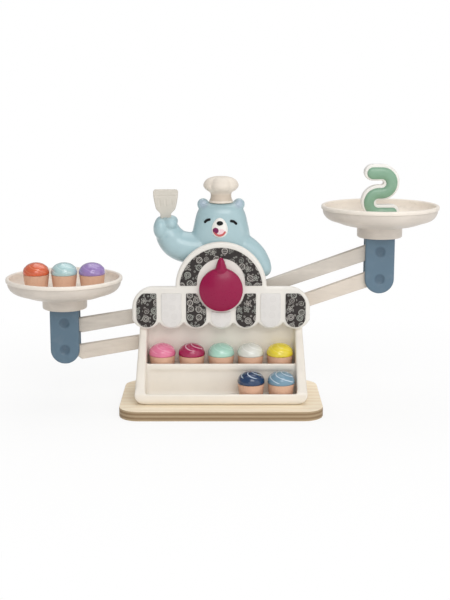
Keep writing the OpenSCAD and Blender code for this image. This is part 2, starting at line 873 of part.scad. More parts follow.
// Half of the bear: the front half when side is -1, the back one when 1
module bear_half(side) {
    far = 4 * head_r;
    color(bear_blue) difference() {
        union() {
            difference() {
                bear_trunk(0);
                // The flat seat of the hat
                block([-far, -far, hat_low], [far, far, hat_low + far]);
            }
            bear_limbs();
        }
        difference() {
            bear_trunk(bear_wall);
            translate([0, bear_y, bear_z]) cube([2 * far, 2 * far, 2 * bear_wall], center = true);
        }
        // The other half, and what lies below the underside
        block([-2 * far, side < 0 ? bear_y : bear_y - far, bear_z - far],
              [2 * far, side < 0 ? bear_y + far : bear_y, bear_z + 2 * far]);
        block([-far, -far, bear_z - far], [far, far, bear_z]);
        block([-handle_w / 2 - plug_fit + fist[0], bear_y - spatula_t / 2 - plug_fit, spatula_low - plug_fit],
              [handle_w / 2 + plug_fit + fist[0], bear_y + spatula_t / 2 + plug_fit, hat_low]);
        for (s = [-1, 1]) translate([s * bear_peg_x, deck_screw_y, bear_z - past])
            cylinder(h = screw_bite + past, r = screw_r);
    }
}

module bear_front() {
    bear_half(-1);
}

module bear_back() {
    bear_half(1);
}

// One turned shape: a tapering band, a neck and a puffy crown
module cook_hat() {
    steps = 10;
    ball_z = hat_h - hat_ball_r;
    ball_x = hat_crown_r - hat_ball_r;
    color([0.94, 0.91, 0.86]) translate([0, bear_y, hat_low]) rotate_extrude() polygon(concat(
        [[0, 0], [hat_band_r, 0], [hat_neck_r, hat_band_h]],
        [for (i = [0:steps]) let (a = hat_under_angle + (90 - hat_under_angle) * i / steps)
            [ball_x + hat_ball_r * cos(a), ball_z + hat_ball_r * sin(a)]],
        [[0, hat_h]]));
}

hat_under_angle = -70;

module spatula() {
    blade_z = spatula_low + handle_h;
    color([0.93, 0.90, 0.85]) translate([fist[0], 0, 0]) upright(bear_y - spatula_t / 2, spatula_t) union() {
        translate([-handle_w / 2, spatula_low]) square([handle_w, handle_h]);
        polygon([
            [-handle_w / 2, blade_z - shoulder_h], [handle_w / 2, blade_z - shoulder_h],
            [blade_low_w / 2, blade_z],
            [blade_w / 2, blade_z + blade_h], [-blade_w / 2, blade_z + blade_h], [-blade_low_w / 2, blade_z]
        ]);
    }
}

// A cupcake stands at place, which is the middle of its flat underside
module cup(place) {
    color(cup_tan) translate(place) cylinder(h = cup_h, r1 = cup_low_r, r2 = cup_top_r);
}

module icing(place, tint) {
    steps = 8;
    edge = icing_h * icing_edge_share;
    color(tint) translate(place) translate([0, 0, cup_h]) rotate_extrude() polygon(concat(
        [[0, 0], [cup_top_r, 0]],
        [for (i = [0:steps - 1]) let (a = 90 * i / steps)
            [icing_r * cos(a), edge + (icing_h - edge) * sin(a)]],
        [[0, icing_h]]));
}

icing_edge_share = 0.16;

left_floor = left_z + rim_up - pan_depth;
right_floor = right_z + rim_up - pan_depth;
function pan_place(i) = [left_x + i * pan_cake_pitch, 0, left_floor];
function upper_place(i) = [i * cake_pitch, upper_cake_y, upper_floor_z];
function lower_place(i) = [i * cake_pitch, lower_cake_y, lower_floor_z];

// Front view of the number two, drawn with its foot at zero and its middle at zero
module number_outline(inset) {
    half = number_stroke / 2;
    step = (number_h - number_stroke) / 4;
    r = step + half;
    x_right = number_w / 2 - r;
    x_left = -number_w / 2 + r;
    // The top stroke, the upper bow, the middle stroke, the lower bow and the foot
    stroke(-number_w / 2 + half, x_right, half + 4 * step, half - inset);
    bow(x_right, half + 3 * step, r - inset, step - half + inset, 1);
    stroke(x_left, x_right, half + 2 * step, half - inset);
    bow(x_left, half + step, r - inset, step - half + inset, -1);
    stroke(x_left, number_w / 2 - half, half, half - inset);
}

module stroke(x0, x1, z, r) {
    translate([x0, z - r]) square([x1 - x0, 2 * r]);
    for (x = [x0, x1]) translate([x, z]) circle(r);
}

module bow(x, z, r_out, r_in, side) {
    translate([x, z]) difference() {
        circle(r_out);
        circle(r_in);
        translate([side > 0 ? -2 * r_out : 0, -r_out]) square([2 * r_out, 2 * r_out]);
    }
}

module number_place() {
    translate([right_x, 0, right_floor]) rotate([0, 0, number_turn]) children();
}

module number_body() {
    color([0.95, 0.93, 0.90]) number_place() upright(-number_t / 2, number_t) number_outline(0);
}

module number_face() {
    color([0.55, 0.76, 0.66]) number_place() upright(-number_t / 2 - number_face_t, number_face_t)
        number_outline(number_inset);
}

// Screws with round heads, whose heads lie at place and whose shanks run along towards
module screw_up(place, len) {
    translate(place) cylinder(h = len, r = screw_r);
    translate(place - [0, 0, screw_head_h]) cylinder(h = screw_head_h, r = screw_head_r);
}

module base_screws() {
    color(steel) for (p = base_screw_places)
        screw_up([p[0], p[1], screw_sink], base_t - screw_sink + screw_len - past);
}

module deck_screws() {
    color(steel) for (s = [-1, 1])
        screw_up([s * deck_screw_x, deck_screw_y, deck_z - counter_wall],
                 counter_wall + screw_len - 2 * past);
}

module cover_screws() {
    color(steel) for (p = cover_screw_places) {
        rod(p[0], tower_back - screw_len + screw_room + past, p[1], screw_r, screw_len - screw_room - past);
        rod(p[0], tower_back, p[1], screw_head_r, screw_head_h);
    }
}

module awning_screws() {
    color(steel) for (p = awning_screw_places) {
        rod(p[0], awning_back - screw_bite, p[1], screw_r, wall_back - awning_back + screw_bite);
        rod(p[0], wall_back, p[1], screw_head_r, screw_head_h);
    }
}

module bear_screws() {
    color(steel) for (s = [-1, 1])
        screw_up([s * bear_peg_x, deck_screw_y, tower_top - tower_wall - past],
                 tower_wall + past + screw_bite);
}

base_board();
counter();
pivot_tower();
rear_cover();
awning_plate();
arch_ring();
dark_awning_panels();
light_awning_panels();
pointer_knob();
pointer_washer();
pointer_screw();
upper_beam();
lower_beam();
upper_beam_axle();
lower_beam_axle();
left_post_front();
left_post_rear();
left_post_pins();
left_pan();
right_post_front();
right_post_rear();
right_post_pins();
right_pan();
bear_front();
bear_back();
cook_hat();
spatula();
icing(pan_place(-1), [0.88, 0.30, 0.12]);  // orange_icing
cup(pan_place(-1));  // orange_cup
icing(pan_place(0), [0.68, 0.84, 0.85]);  // skyblue_icing
cup(pan_place(0));  // skyblue_cup
icing(pan_place(1), [0.60, 0.47, 0.75]);  // purple_icing
cup(pan_place(1));  // purple_cup
icing(upper_place(-2), [0.90, 0.42, 0.60]);  // pink_icing
cup(upper_place(-2));  // pink_cup
icing(upper_place(-1), [0.72, 0.08, 0.36]);  // magenta_icing
cup(upper_place(-1));  // magenta_cup
icing(upper_place(0), [0.58, 0.86, 0.76]);  // mint_icing
cup(upper_place(0));  // mint_cup
icing(upper_place(1), [0.91, 0.91, 0.88]);  // white_icing
cup(upper_place(1));  // white_cup
icing(upper_place(2), [0.96, 0.88, 0.16]);  // yellow_icing
cup(upper_place(2));  // yellow_cup
icing(lower_place(1), [0.08, 0.25, 0.46]);  // navy_icing
cup(lower_place(1));  // navy_cup
icing(lower_place(2), [0.44, 0.60, 0.72]);  // greyblue_icing
cup(lower_place(2));  // greyblue_cup
number_body();
number_face();
base_screws();
deck_screws();
cover_screws();
awning_screws();
bear_screws();
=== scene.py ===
# Toy balance scale: two rocking beams with a pan post at each end, and before them a shop
# counter with an awning, a turning pointer, a bear cook, cupcakes and a number weight.
# Lengths in the dictionaries are millimetres; +Z is up and the front faces -Y.
from math import acos, asin, atan2, copysign, cos, degrees, hypot, pi, radians, sin
import bmesh
import bpy
import numpy as np
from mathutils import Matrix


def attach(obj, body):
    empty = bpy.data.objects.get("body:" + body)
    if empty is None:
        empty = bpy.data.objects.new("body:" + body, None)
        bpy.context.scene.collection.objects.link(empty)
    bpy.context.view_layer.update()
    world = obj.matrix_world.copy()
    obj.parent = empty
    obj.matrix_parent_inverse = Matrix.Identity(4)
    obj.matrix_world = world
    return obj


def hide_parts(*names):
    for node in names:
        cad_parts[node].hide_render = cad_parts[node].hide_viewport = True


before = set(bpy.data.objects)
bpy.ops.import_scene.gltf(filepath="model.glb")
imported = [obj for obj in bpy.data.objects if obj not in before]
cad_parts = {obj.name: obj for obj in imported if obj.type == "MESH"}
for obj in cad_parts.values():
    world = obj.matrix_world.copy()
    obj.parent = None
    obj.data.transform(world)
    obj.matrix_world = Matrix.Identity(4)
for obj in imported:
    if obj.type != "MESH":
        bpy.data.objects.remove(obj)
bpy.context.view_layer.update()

scene = bpy.context.scene


class Values(dict):
    # a dictionary that is also read as v.name
    __getattr__ = dict.__getitem__


# meshes from numpy arrays

def cast(*axes):
    # two or three arrays, stretched to one shape, as points
    return np.stack(np.broadcast_arrays(*axes), axis=-1)


def within(share):
    # kept from 0 to 1
    return np.clip(share, 0, 1)


def circle(count):
    # even angles round a full turn
    return np.linspace(0, 2 * pi, count, endpoint=False)


def arc(x, z, r, start, stop, count=24):
    # points at distance r from x and z, between two angles in degrees
    turn = np.radians(np.linspace(start, stop, count))
    return cast(x + r * np.cos(turn), z + r * np.sin(turn))


def roundBox(x0, y0, x1, y1, r, count):
    # a rectangle whose corners are quarter circles, anticlockwise from its low left one
    return np.vstack([arc(x0 + r, y0 + r, r, 180, 270, count), arc(x1 - r, y0 + r, r, 270, 360, count),
                      arc(x1 - r, y1 - r, r, 0, 90, count), arc(x0 + r, y1 - r, r, 90, 180, count)])


def spaced(line, step=None, count=None):
    # points at even lengths along a line: count of them with both its ends, or step apart without the last
    lengths = np.concatenate([[0], np.cumsum(np.hypot(*np.diff(line, axis=0).T))])
    places = np.linspace(0, lengths[-1], count or max(12, int(lengths[-1] / step)), bool(count))
    return cast(*(np.interp(places, lengths, one) for one in line.T))


def resample(outline, step):
    # a closed outline with points every step along its length
    return spaced(np.vstack([outline, outline[:1]]), step)


def softened(outline, passes):
    # each pass moves every point to the mean of itself, twice, and its two neighbours
    for _ in range(passes):
        outline = (np.roll(outline, 1, 0) + 2 * outline + np.roll(outline, -1, 0)) / 4
    return outline


def smoothLine(points, count):
    # a Catmull-Rom curve through the points, count places long
    points = np.asarray(points, dtype=float)
    ends = np.vstack([2 * points[0] - points[1], points, 2 * points[-1] - points[-2]])
    at = np.linspace(0, len(points) - 1, count)
    k = np.minimum(at.astype(int), len(points) - 2)
    t = (at - k)[:, None]
    p0, p1, p2, p3 = ends[k], ends[k + 1], ends[k + 2], ends[k + 3]
    return 0.5 * (2 * p1 + (p2 - p0) * t + (2 * p0 - 5 * p1 + 4 * p2 - p3) * t ** 2
                  + (3 * p1 - p0 - 3 * p2 + p3) * t ** 3)


def insetOutline(outline, distance):
    # every point moves inwards along the mean of its two sides' normals; the outline runs anticlockwise
    before = outline - np.roll(outline, 1, axis=0)
    after = np.roll(outline, -1, axis=0) - outline
    along = before / np.hypot(*before.T)[:, None] + after / np.hypot(*after.T)[:, None]
    along /= np.maximum(np.hypot(*along.T)[:, None], 1e-9)
    return outline + cast(-along[:, 1], along[:, 0]) * distance


def skin(rings, caps="pole"):
    # rings (n, m, 3) joined in order by quads; each end is closed by a fan to the ring's middle or one flat face
    count, width = rings.shape[:2]
    points = rings.reshape(-1, 3)
    here = np.arange(count * width).reshape(count, width)
    onward = np.roll(here, -1, axis=1)
    faces = np.stack([here[:-1], onward[:-1], onward[1:], here[1:]], axis=-1).reshape(-1, 4).tolist()
    if caps == "flat":
        return points, faces + [here[0].tolist(), here[-1].tolist()], [len(faces), len(faces) + 1]
    for row in (0, -1):
        faces += np.stack([here[row], onward[row], np.full(width, len(points))], axis=-1).tolist()
        points = np.vstack([points, rings[row].mean(axis=0)])
    return points, faces, []


def prism(outline, low, high):
    # an upright block over an outline
    x, y = np.array(outline).T
    return skin(np.array([cast(x, y, z) for z in (low, high)]), "flat")


def plate(outline, low, high, edge, steps=5, lying=False, bothEdges=True, side=1):
    # an outline carried from low to high along Y (or up, if lying), its rim following a quarter circle of radius
    # edge at each end; side -1 turns it to face -Y
    if np.sum(outline[:, 0] * np.roll(outline[:, 1], -1) - outline[:, 1] * np.roll(outline[:, 0], -1)) < 0:
        outline = outline[::-1]
    turn = np.linspace(0, pi / 2, steps)
    sine, cosine = np.sin(turn), np.cos(turn)
    levels = list(zip(edge * (1 - sine), low + edge * (1 - cosine))) if bothEdges else [(0, low)]
    levels += zip(edge * (1 - cosine), high - edge * (1 - sine))
    rings = []
    for inward, level in levels:
        x, across = insetOutline(outline, inward).T
        rings.append(cast(x, across, level) if lying else cast(x, side * level, across))
    return skin(np.array(rings), "flat")


def turned(profile, count, middle=(0, 0, 0), wave=None):
    # a profile of (radius, height) points turned about Z; wave(turn, profile) gives the radius to add
    profile = np.asarray(profile, dtype=float)
    turn = circle(count)
    r = profile[:, :1] + (wave(turn, profile) if wave else 0)
    return skin(cast(r * np.cos(turn), r * np.sin(turn), profile[:, 1:]) + middle)


def capped(path, radii, steepest=88, steps=8):
    # a path lengthened by round ends: its places, the direction ahead and the radius at each, and the share
    # of that radius, which falls as the cosine of an angle while the place moves on as its sine
    cap = np.radians(np.linspace(steepest, 0, steps, endpoint=False))
    ahead = np.gradient(path, axis=0)
    ahead /= np.linalg.norm(ahead, axis=1)[:, None]
    places = np.vstack([path[0] - ahead[0] * radii[0] * np.sin(cap)[:, None], path,
                        path[-1] + ahead[-1] * radii[-1] * np.sin(cap[::-1])[:, None]])
    share = np.concatenate([np.cos(cap), np.ones(len(path)), np.cos(cap[::-1])])
    return places, np.pad(ahead, ((steps, steps), (0, 0)), "edge"), np.pad(radii, steps, "edge"), share


def limb(path, radii, count=40, depthShare=1.0):
    # circles carried along a path, with round ends
    places, ahead, radii, share = capped(path, radii)
    side = np.cross(ahead, [0.0, 1.0, 0.0])
    side /= np.linalg.norm(side, axis=1)[:, None]
    turn = circle(count)[:, None]
    around = np.cos(turn) * side[:, None] + depthShare * np.sin(turn) * np.cross(side, ahead)[:, None]
    return skin(places[:, None] + (radii * share)[:, None, None] * around)


def ball(middle, radii):
    # an ellipsoid whose poles lie on Y
    t, turn = np.radians(np.linspace(-86, 86, 16))[:, None], circle(28)
    return skin(cast(np.cos(t) * np.cos(turn), np.sin(t), np.cos(t) * np.sin(turn)) * radii + middle)


def meshOf(name, skins):
    # several closed skins (points, faces, numbers of the flat faces) as one mesh that faces outwards
    points, faces, flat = [], [], []
    for some, theirs, theirFlat in skins:
        shift = sum(map(len, points))
        flat += [len(faces) + k for k in theirFlat]
        faces += [[v + shift for v in face] for face in theirs]
        points.append(some)
    mesh = bpy.data.meshes.new(name)
    mesh.from_pydata((np.vstack(points) * 0.001).tolist(), [], faces)
    smooth = np.ones(len(faces), dtype=bool)
    smooth[flat] = False
    mesh.polygons.foreach_set("use_smooth", smooth)
    work = bmesh.new()
    work.from_mesh(mesh)
    bmesh.ops.recalc_face_normals(work, faces=work.faces)
    work.to_mesh(mesh)
    work.free()
    return mesh


def put(mesh):
    # an object of the mesh's name
    piece = bpy.data.objects.new(mesh.name, mesh)
    scene.collection.objects.link(piece)
    return piece


def joinSkins(name, skins):
    return put(meshOf(name, skins))


def pointsOf(piece):
    # in millimetres, like all points here
    points = np.empty(len(piece.data.vertices) * 3)
    piece.data.vertices.foreach_get("co", points)
    return points.reshape(-1, 3) * 1000


def movePoints(piece, points):
    piece.data.vertices.foreach_set("co", (points * 0.001).ravel())
    piece.data.update()


def mark(piece, name, values):
    # a number for each point, which a finish reads by its name
    piece.data.attributes.new(name, "FLOAT", "POINT").data.foreach_set("value", values.astype(np.float32))


def eased(piece, passes, hold=None):
    # each pass moves every point half way to the mean of its neighbours; hold(points) gives a smaller share
    edges = np.empty(len(piece.data.edges) * 2, dtype=np.int64)
    piece.data.edges.foreach_get("vertices", edges)
    a, b = edges.reshape(-1, 2).T
    points = pointsOf(piece)
    total = len(points)
    count = np.maximum(np.bincount(a, minlength=total) + np.bincount(b, minlength=total), 1)[:, None]
    share = 0.5 * (hold(points)[:, None] if hold else 1)
    for _ in range(passes):
        sums = [np.bincount(a, points[b, k], total) + np.bincount(b, points[a, k], total) for k in range(3)]
        points += share * (cast(*sums) / count - points)
    movePoints(piece, points)
    return piece


def melted(piece, grain, passes, hold=None):
    # one even skin of small squares over all that the piece holds, then eased
    even = piece.modifiers.new("even", "REMESH")
    even.mode = "VOXEL"
    even.voxel_size = grain * 0.001
    mesh = bpy.data.meshes.new_from_object(piece.evaluated_get(bpy.context.evaluated_depsgraph_get()))
    piece.modifiers.clear()
    piece.data = mesh
    mesh.polygons.foreach_set("use_smooth", np.ones(len(mesh.polygons), dtype=bool))
    return eased(piece, passes, hold)


def softCopy(name, node, grain, passes, hold=None, fillers=()):
    # a copy of a CAD node with the soft edges of a moulding; fillers close the hollows that can't be seen
    mesh = meshOf(name, fillers) if fillers else bpy.data.meshes.new(name)
    work = bmesh.new()
    work.from_mesh(mesh)
    work.from_mesh(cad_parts[node].data)
    bmesh.ops.remove_doubles(work, verts=work.verts, dist=1e-5)
    work.to_mesh(mesh)
    work.free()
    return melted(put(mesh), grain, passes, hold)


def beyond(across, up, r):
    # both count from a corner arc's middle; the share by which a point in the corner lies outside the arc
    return (np.minimum(across, up) > 0) * np.maximum(1 - r / np.maximum(np.hypot(across, up), 1e-9), 0)


def fit(piece, body, finish, slot, *nodes):
    # the piece gets its finish, its body and the CAD nodes that it stands for
    piece.data.materials.clear()
    piece.data.materials.append(finish)
    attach(piece, body)
    if nodes:
        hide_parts(*nodes)


def make(name, skins, *where):
    fit(joinSkins(name, skins), *where)


# finishes

def operation(name, swapped=False):
    # a method that adds the Math node of that name
    def apply(self, *others):
        terms = (*others, self) if swapped else (self, *others)
        return self.tree.add("Math", dict(enumerate(terms)), operation=name)
    return apply


class Wire:
    # one socket of a node tree; sums and products of wires add their Math nodes
    __add__, __radd__ = operation("ADD"), operation("ADD", True)
    __sub__, __rsub__ = operation("SUBTRACT"), operation("SUBTRACT", True)
    __mul__, __rmul__, __pow__ = operation("MULTIPLY"), operation("MULTIPLY", True), operation("POWER")
    over, under, most = operation("GREATER_THAN"), operation("LESS_THAN"), operation("MAXIMUM")
    size, wave, cosine, angle = (operation(name) for name in ("ABSOLUTE", "SINE", "COSINE", "ARCTAN2"))

    def __init__(self, tree, socket):
        self.tree, self.socket = tree, socket

    def ramp(self, low, high, start=0.0, stop=1.0):
        # straight line from start at low to stop at high, level outside
        return self.tree.add("MapRange", {0: self, 1: low, 2: high, 3: start, 4: stop}, clamp=True)

    def mix(self, first, second):
        # the first colour at 0, the second at 1
        return self.tree.add("Mix", {0: self, 6: first, 7: second}, 2, data_type="RGBA")

    def bump(self, strength, distance):
        # the wire is a height; distance in metres
        return self.tree.add("Bump", {"Strength": strength, "Distance": distance, "Height": self})


class Tree:
    # the node tree of a material or a world; kinds of node are named without their ShaderNode
    def __init__(self, owner):
        owner.use_nodes = True
        self.nodes, self.links = owner.node_tree.nodes, owner.node_tree.links
        self.nodes.clear()

    def put(self, socket, value):
        if isinstance(value, Wire):
            self.links.new(value.socket, socket)
        elif np.ndim(value) and len(value) < len(socket.default_value):
            socket.default_value = (*value, 1.0)
        else:
            socket.default_value = value

    def add(self, kind, sockets=None, out=0, **settings):
        # one node; out names its output, or several of them
        node = self.nodes.new("ShaderNode" + kind)
        for key, value in settings.items():
            setattr(node, key, value)
        for key, value in (sockets or {}).items():
            self.put(node.inputs[key], value)
        wires = [Wire(self, node.outputs[k]) for k in (out if isinstance(out, tuple) else (out,))]
        return wires if isinstance(out, tuple) else wires[0]


class Finish(Tree):
    def __init__(self, name, **values):
        self.material = bpy.data.materials.new(name)
        super().__init__(self.material)
        self.shader = self.nodes.new("ShaderNodeBsdfPrincipled")
        self.last = self.nodes.new("ShaderNodeOutputMaterial")
        self.shown = Wire(self, self.shader.outputs[0])
        self.put(self.last.inputs[0], self.shown)
        self.feed(**values)

    def feed(self, **values):
        # values by the shader's input names, written as one word
        for key, value in values.items():
            self.put(self.shader.inputs[inputNames[key]], value)
        return self.material

    def place(self, scale=(1, 1, 1), shift=(0, 0, 0)):
        spot = self.add("TexCoord", out="Object")
        return self.add("Mapping", {"Vector": spot, "Scale": scale, "Location": shift})

    def axes(self, spot):
        return self.add("SeparateXYZ", {0: spot}, (0, 1, 2))

    def millimetres(self):
        return self.axes(self.place((1000, 1000, 1000)))

    def mark(self, name):
        return self.add("Attribute", out="Fac", attribute_name=name)

    def noise(self, scale, detail=2.0, spot=None, rough=0.5):
        return self.add("TexNoise", {"Vector": spot or self.place(), "Scale": scale, "Detail": detail,
                                     "Roughness": rough})


inputNames = {"colour": "Base Color", "rough": "Roughness", "normal": "Normal", "metal": "Metallic",
              "coat": "Coat Weight", "coatRough": "Coat Roughness", "shine": "Specular IOR Level"}


def shade(colour, amount):
    # times the amount, at most white
    return tuple(min(1.0, c * amount) for c in colour)


def linear(r, g, b):
    # a colour written as 0 to 255 on screen, as the shader's own light values
    return tuple(((c / 255 + 0.055) / 1.055) ** 2.4 if c > 10 else c / 255 / 12.92 for c in (r, g, b))


def moulded(name, screenColour, rough=0.42, coat=0.0, streaks=0.0, mottle=0.03, grain=0.06, along=(1, 1, 1),
            tint=None, shine=0.45):
    # moulded plastic: faint mottle, optional pale and dark fibre streaks, fine orange-peel bump;
    # tint(finish, colour) changes the colour from place to place; the tints here are one print and some painted light
    # and shade
    finish = Finish(name, coat=coat, coatRough=0.12, shine=shine)
    colour = linear(*screenColour)
    cloud = finish.noise(38, 3)
    body = cloud.ramp(0.3, 0.7).mix(shade(colour, 1 - mottle), shade(colour, 1 + mottle))
    if tint:
        body = tint(finish, body)
    if streaks:
        fibre = finish.noise(170, 3, finish.place(along), 0.6)
        body = fibre.ramp(0.52, 0.78, 0, streaks).mix(body, shade(colour, 0.62))
        pale = finish.noise(120, 2, finish.place(along, (0.3, 0.1, 0.7)))
        body = pale.ramp(0.55, 0.8, 0, streaks).mix(body, linear(250, 240, 230))
    fine = finish.noise(900, 2)
    wide = finish.noise(55, 2)
    return finish.feed(colour=body, rough=fine.ramp(0.2, 0.8, rough - 0.05, rough + 0.06),
                       normal=(fine * 0.25 + wide).bump(grain, 0.0006))


def nearby(finish, shift, spacing, randomness):
    # a flat pattern's cells: the distance from the nearest cell's middle, the flat place itself, the two
    # lengths of which the distance is the root of the sum of squares, and the cell's three random numbers
    x, y, z = finish.millimetres()
    flat = finish.add("CombineXYZ", {0: x + shift, 1: z})
    spot, chance = finish.add("TexVoronoi", {"Vector": flat, "Scale": 1 / spacing, "Randomness": randomness},
                              ("Position", "Color"), feature="F1", voronoi_dimensions="2D")
    middle = finish.axes(spot)
    across, up = x + shift - middle[0], z - middle[1]
    return (across * across + up * up) ** 0.5, flat, across, up, finish.axes(chance)


def fineLine(distance, width):
    # 1 on the line, 0 away from it
    return 1 - distance.size().ramp(width * 0.5, width)


def panelMarks(finish, body):
    # faint round marks, as of a light embossed print
    r, flat = nearby(finish, 31.0, 9.0, 0.3)[:2]
    r = r + (finish.noise(0.5, 2, flat) - 0.5) * 1.4
    marks = fineLine(r - 2.6, 0.7).most(fineLine(r - 1.1, 0.6))
    return (marks * 0.28).mix(body, linear(208, 204, 200))


# the painted shade on the ears' fronts: its middle, its reach, its front limit and its colour
earShade = Values(x=17.9, z=202.4, start=2.6, stop=5.8, front=-4, colour=(166, 180, 196))


def earPaintedShade(finish, body):
    # painted shade: the ears' fronts are painted a darker lilac-grey round their middles, for the shade of an inner
    # hollow
    x, y, z = finish.millimetres()
    across, up = x.size() - earShade.x, z - earShade.z
    near = 1 - ((across * across + up * up) ** 0.5).ramp(earShade.start, earShade.stop)
    return (near * y.under(earShade.front) * 0.75).mix(body, linear(*earShade.colour))


def bandPaintedShade(finish, body):
    # painted shade: the hat's band is painted a little darker than its crown and its hem
    z = finish.millimetres()[2]
    return (z.ramp(204.6, 205.6) * (1 - z.ramp(210.5, 214.5)) * 0.75).mix(body, linear(196, 180, 162))


def dishPaintedLight(finish, body):
    # painted light: a pan's dish is painted paler inside than outside, for the light that falls into it from above
    return (finish.mark("inside") * 0.72).mix(body, linear(252, 243, 231))


def bowlPaintedShade(finish, body):
    # painted shade: the bowls over a post's pivots are painted darker the deeper they go
    return (finish.mark("bowl") * 0.5).mix(body, linear(58, 78, 96))


# roughness, coat, streaks, mottle, bump and the streaks' stretch of the beams' and pans' fibrous plastic
fibrous = (0.46, 0.05, 0.22, 0.05, 0.08, (0.35, 1, 1.6))
creamPlastic = moulded("creamPlastic", (238, 231, 220), 0.40, 0.15, 0.05)
awningPlastic = moulded("awningPlastic", (232, 228, 221), 0.40, 0.15, 0.05)
shellPlastic = moulded("shellPlastic", (220, 209, 196), *fibrous)
# painted shade: a darker copy of the lower beam's plastic, for the upper beam
shadedBeamPlastic = moulded("shadedBeamPlastic", (205, 197, 187), *fibrous)
# painted light and shade: the pans' plastic is a darker copy of the shell's for their shaded outsides, and their dishes
# are painted paler
panPlastic = moulded("panPlastic", (213, 204, 194), *fibrous, dishPaintedLight)
postPlastic = moulded("postPlastic", (91, 116, 134), 0.44, 0.1, 0.03, 0.03, tint=bowlPaintedShade)
bearPlastic = moulded("bearPlastic", (167, 194, 200), 0.32, 0.45, 0.04, 0.03, tint=earPaintedShade)
hatPlastic = moulded("hatPlastic", (230, 220, 207), 0.5, 0.05, 0.08, 0.04, tint=bandPaintedShade)
bladePlastic = moulded("bladePlastic", (209, 203, 192), 0.5, 0.05, 0.12, 0.05)
whitePlastic = moulded("whitePlastic", (240, 237, 232), 0.4, 0.1, 0.03)
panelPlastic = moulded("panelPlastic", (223, 220, 217), 0.45, 0.05, 0.03, tint=panelMarks)
berryPlastic = moulded("berryPlastic", (146, 6, 66), 0.3, 0.1, 0.0, 0.02, 0.03, shine=0.3)
mintPlastic = moulded("mintPlastic", (130, 168, 142), 0.34, 0.25, 0.08)
blackPlastic = moulded("blackPlastic", (5, 5, 8), 0.35, 0.05, shine=0.2)
tonguePlastic = moulded("tonguePlastic", (118, 20, 78), 0.35, 0.1, shine=0.3)
smilePlastic = moulded("smilePlastic", (202, 92, 92), 0.35, 0.1)
blushPlastic = moulded("blushPlastic", (240, 208, 214), 0.4, 0.1)


def plainSteel():
    finish = Finish("plainSteel", metal=1.0)
    brushed = finish.noise(700, 2, finish.place((1, 1, 8)))
    return finish.feed(colour=brushed.mix(linear(176, 177, 180), linear(206, 206, 208)),
                       rough=brushed.ramp(0.2, 0.8, 0.24, 0.42), normal=brushed.bump(0.1, 0.0002))


plyValues = Values(plies=5, thickness=10.0, top=(255, 242, 217), grain=(243, 222, 193), edgeDark=(146, 122, 92),
    edgePale=(176, 154, 124))


def plywood(v):
    # long grain on the faces; on the edge the plies alternate as a sine of the height
    finish = Finish("plywood", shine=0.3)
    z = finish.axes(finish.place())[2]
    bend = finish.noise(9, 2, finish.place((1, 3, 1)))
    rings = finish.add("TexWave", {"Vector": finish.place((0.35, 1, 1)), "Scale": 28.0, "Distortion": 3.5,
                                   "Detail": 3.0, "Detail Scale": 1.2, "Detail Roughness": 0.6}, 1,
                       wave_type="BANDS", bands_direction="Y")
    pores = finish.noise(420, 3, finish.place((0.06, 1, 1)), 0.7)
    share = (rings * 0.35 + bend * 0.35 + pores.ramp(0.45, 0.75) * 0.3).ramp(0.25, 0.85)
    face = share.mix(linear(*v.top), linear(*v.grain))
    band = (z * (1000 * v.plies / v.thickness) * pi).wave()
    fibres = finish.noise(260, 3, finish.place((0.2, 0.2, 3)), 0.6)
    layers = (band + (fibres - 0.5) * 0.9).ramp(-0.25, 0.35)
    edge = layers.mix(linear(*v.edgeDark), linear(*v.edgePale))
    facing = finish.axes(finish.add("NewGeometry", out="Normal"))[2].size()
    return finish.feed(colour=facing.ramp(0.35, 0.75).mix(edge, face), rough=pores.ramp(0.2, 0.8, 0.5, 0.68),
                       normal=(pores + layers * 0.4).bump(0.12, 0.0005))


printValues = Values(ground=(38, 30, 28), chalk=(182, 176, 170), green=(160, 164, 156),
    spacing=8.6, line=0.5, reach=3.1, fullTurn=6.283)


def chalkPrint(v):
    # a dark ground with one chalk drawing in each scattered cell, written as radius against angle:
    # a flower of five petals, two rings, a spiral or a striped ball; small rings between them
    finish = Finish("chalkPrint", shine=0.4)
    r, flat, across, up, (pick, spin, tone) = nearby(finish, 0.0, v.spacing, 0.5)
    r = r + (finish.noise(0.5, 2, flat) - 0.5) * 0.9
    turn = up.angle(across) + spin * v.fullTurn
    petals = fineLine(r - ((turn * 5).cosine() * 0.75 + v.reach * 0.78), v.line).most(fineLine(r - 0.9, v.line))
    rings = fineLine(r - v.reach * 0.95, v.line).most(fineLine(r - v.reach * 0.5, v.line))
    spiral = (r * 3.6 - turn).wave().ramp(0.55, 0.9) * r.under(v.reach)
    stripes = (r * turn.wave() * 3.4).wave().ramp(0.6, 0.95) * r.under(v.reach * 0.85)
    striped = fineLine(r - v.reach * 0.9, v.line).most(stripes)
    chalk = (petals * pick.under(0.28)).most(rings * pick.over(0.28) * pick.under(0.5))
    chalk = chalk.most(spiral * pick.over(0.5) * pick.under(0.72)).most(striped * pick.over(0.72))
    small = nearby(finish, 3.0, 5.2, 0.9)[0]
    chalk = chalk.most(fineLine(small - 0.7, v.line * 0.9) * r.over(v.reach + 0.6) * 0.7)
    chalk = chalk * finish.noise(1.4, 2, flat).ramp(0.3, 0.48, 0.25, 1)
    shown = chalk.most((1 - r.ramp(v.reach * 0.5, v.reach)) * 0.1)
    pale = tone.mix(linear(*v.chalk), linear(*v.green))
    return finish.feed(colour=shown.mix(linear(*v.ground), pale), rough=chalk.ramp(0, 1, 0.36, 0.55),
                       normal=chalk.bump(0.15, 0.0002))


steel = plainSteel()
plyFinish = plywood(plyValues)
printFinish = chalkPrint(printValues)
print("finishes ready")


# board, counter and what stands on it

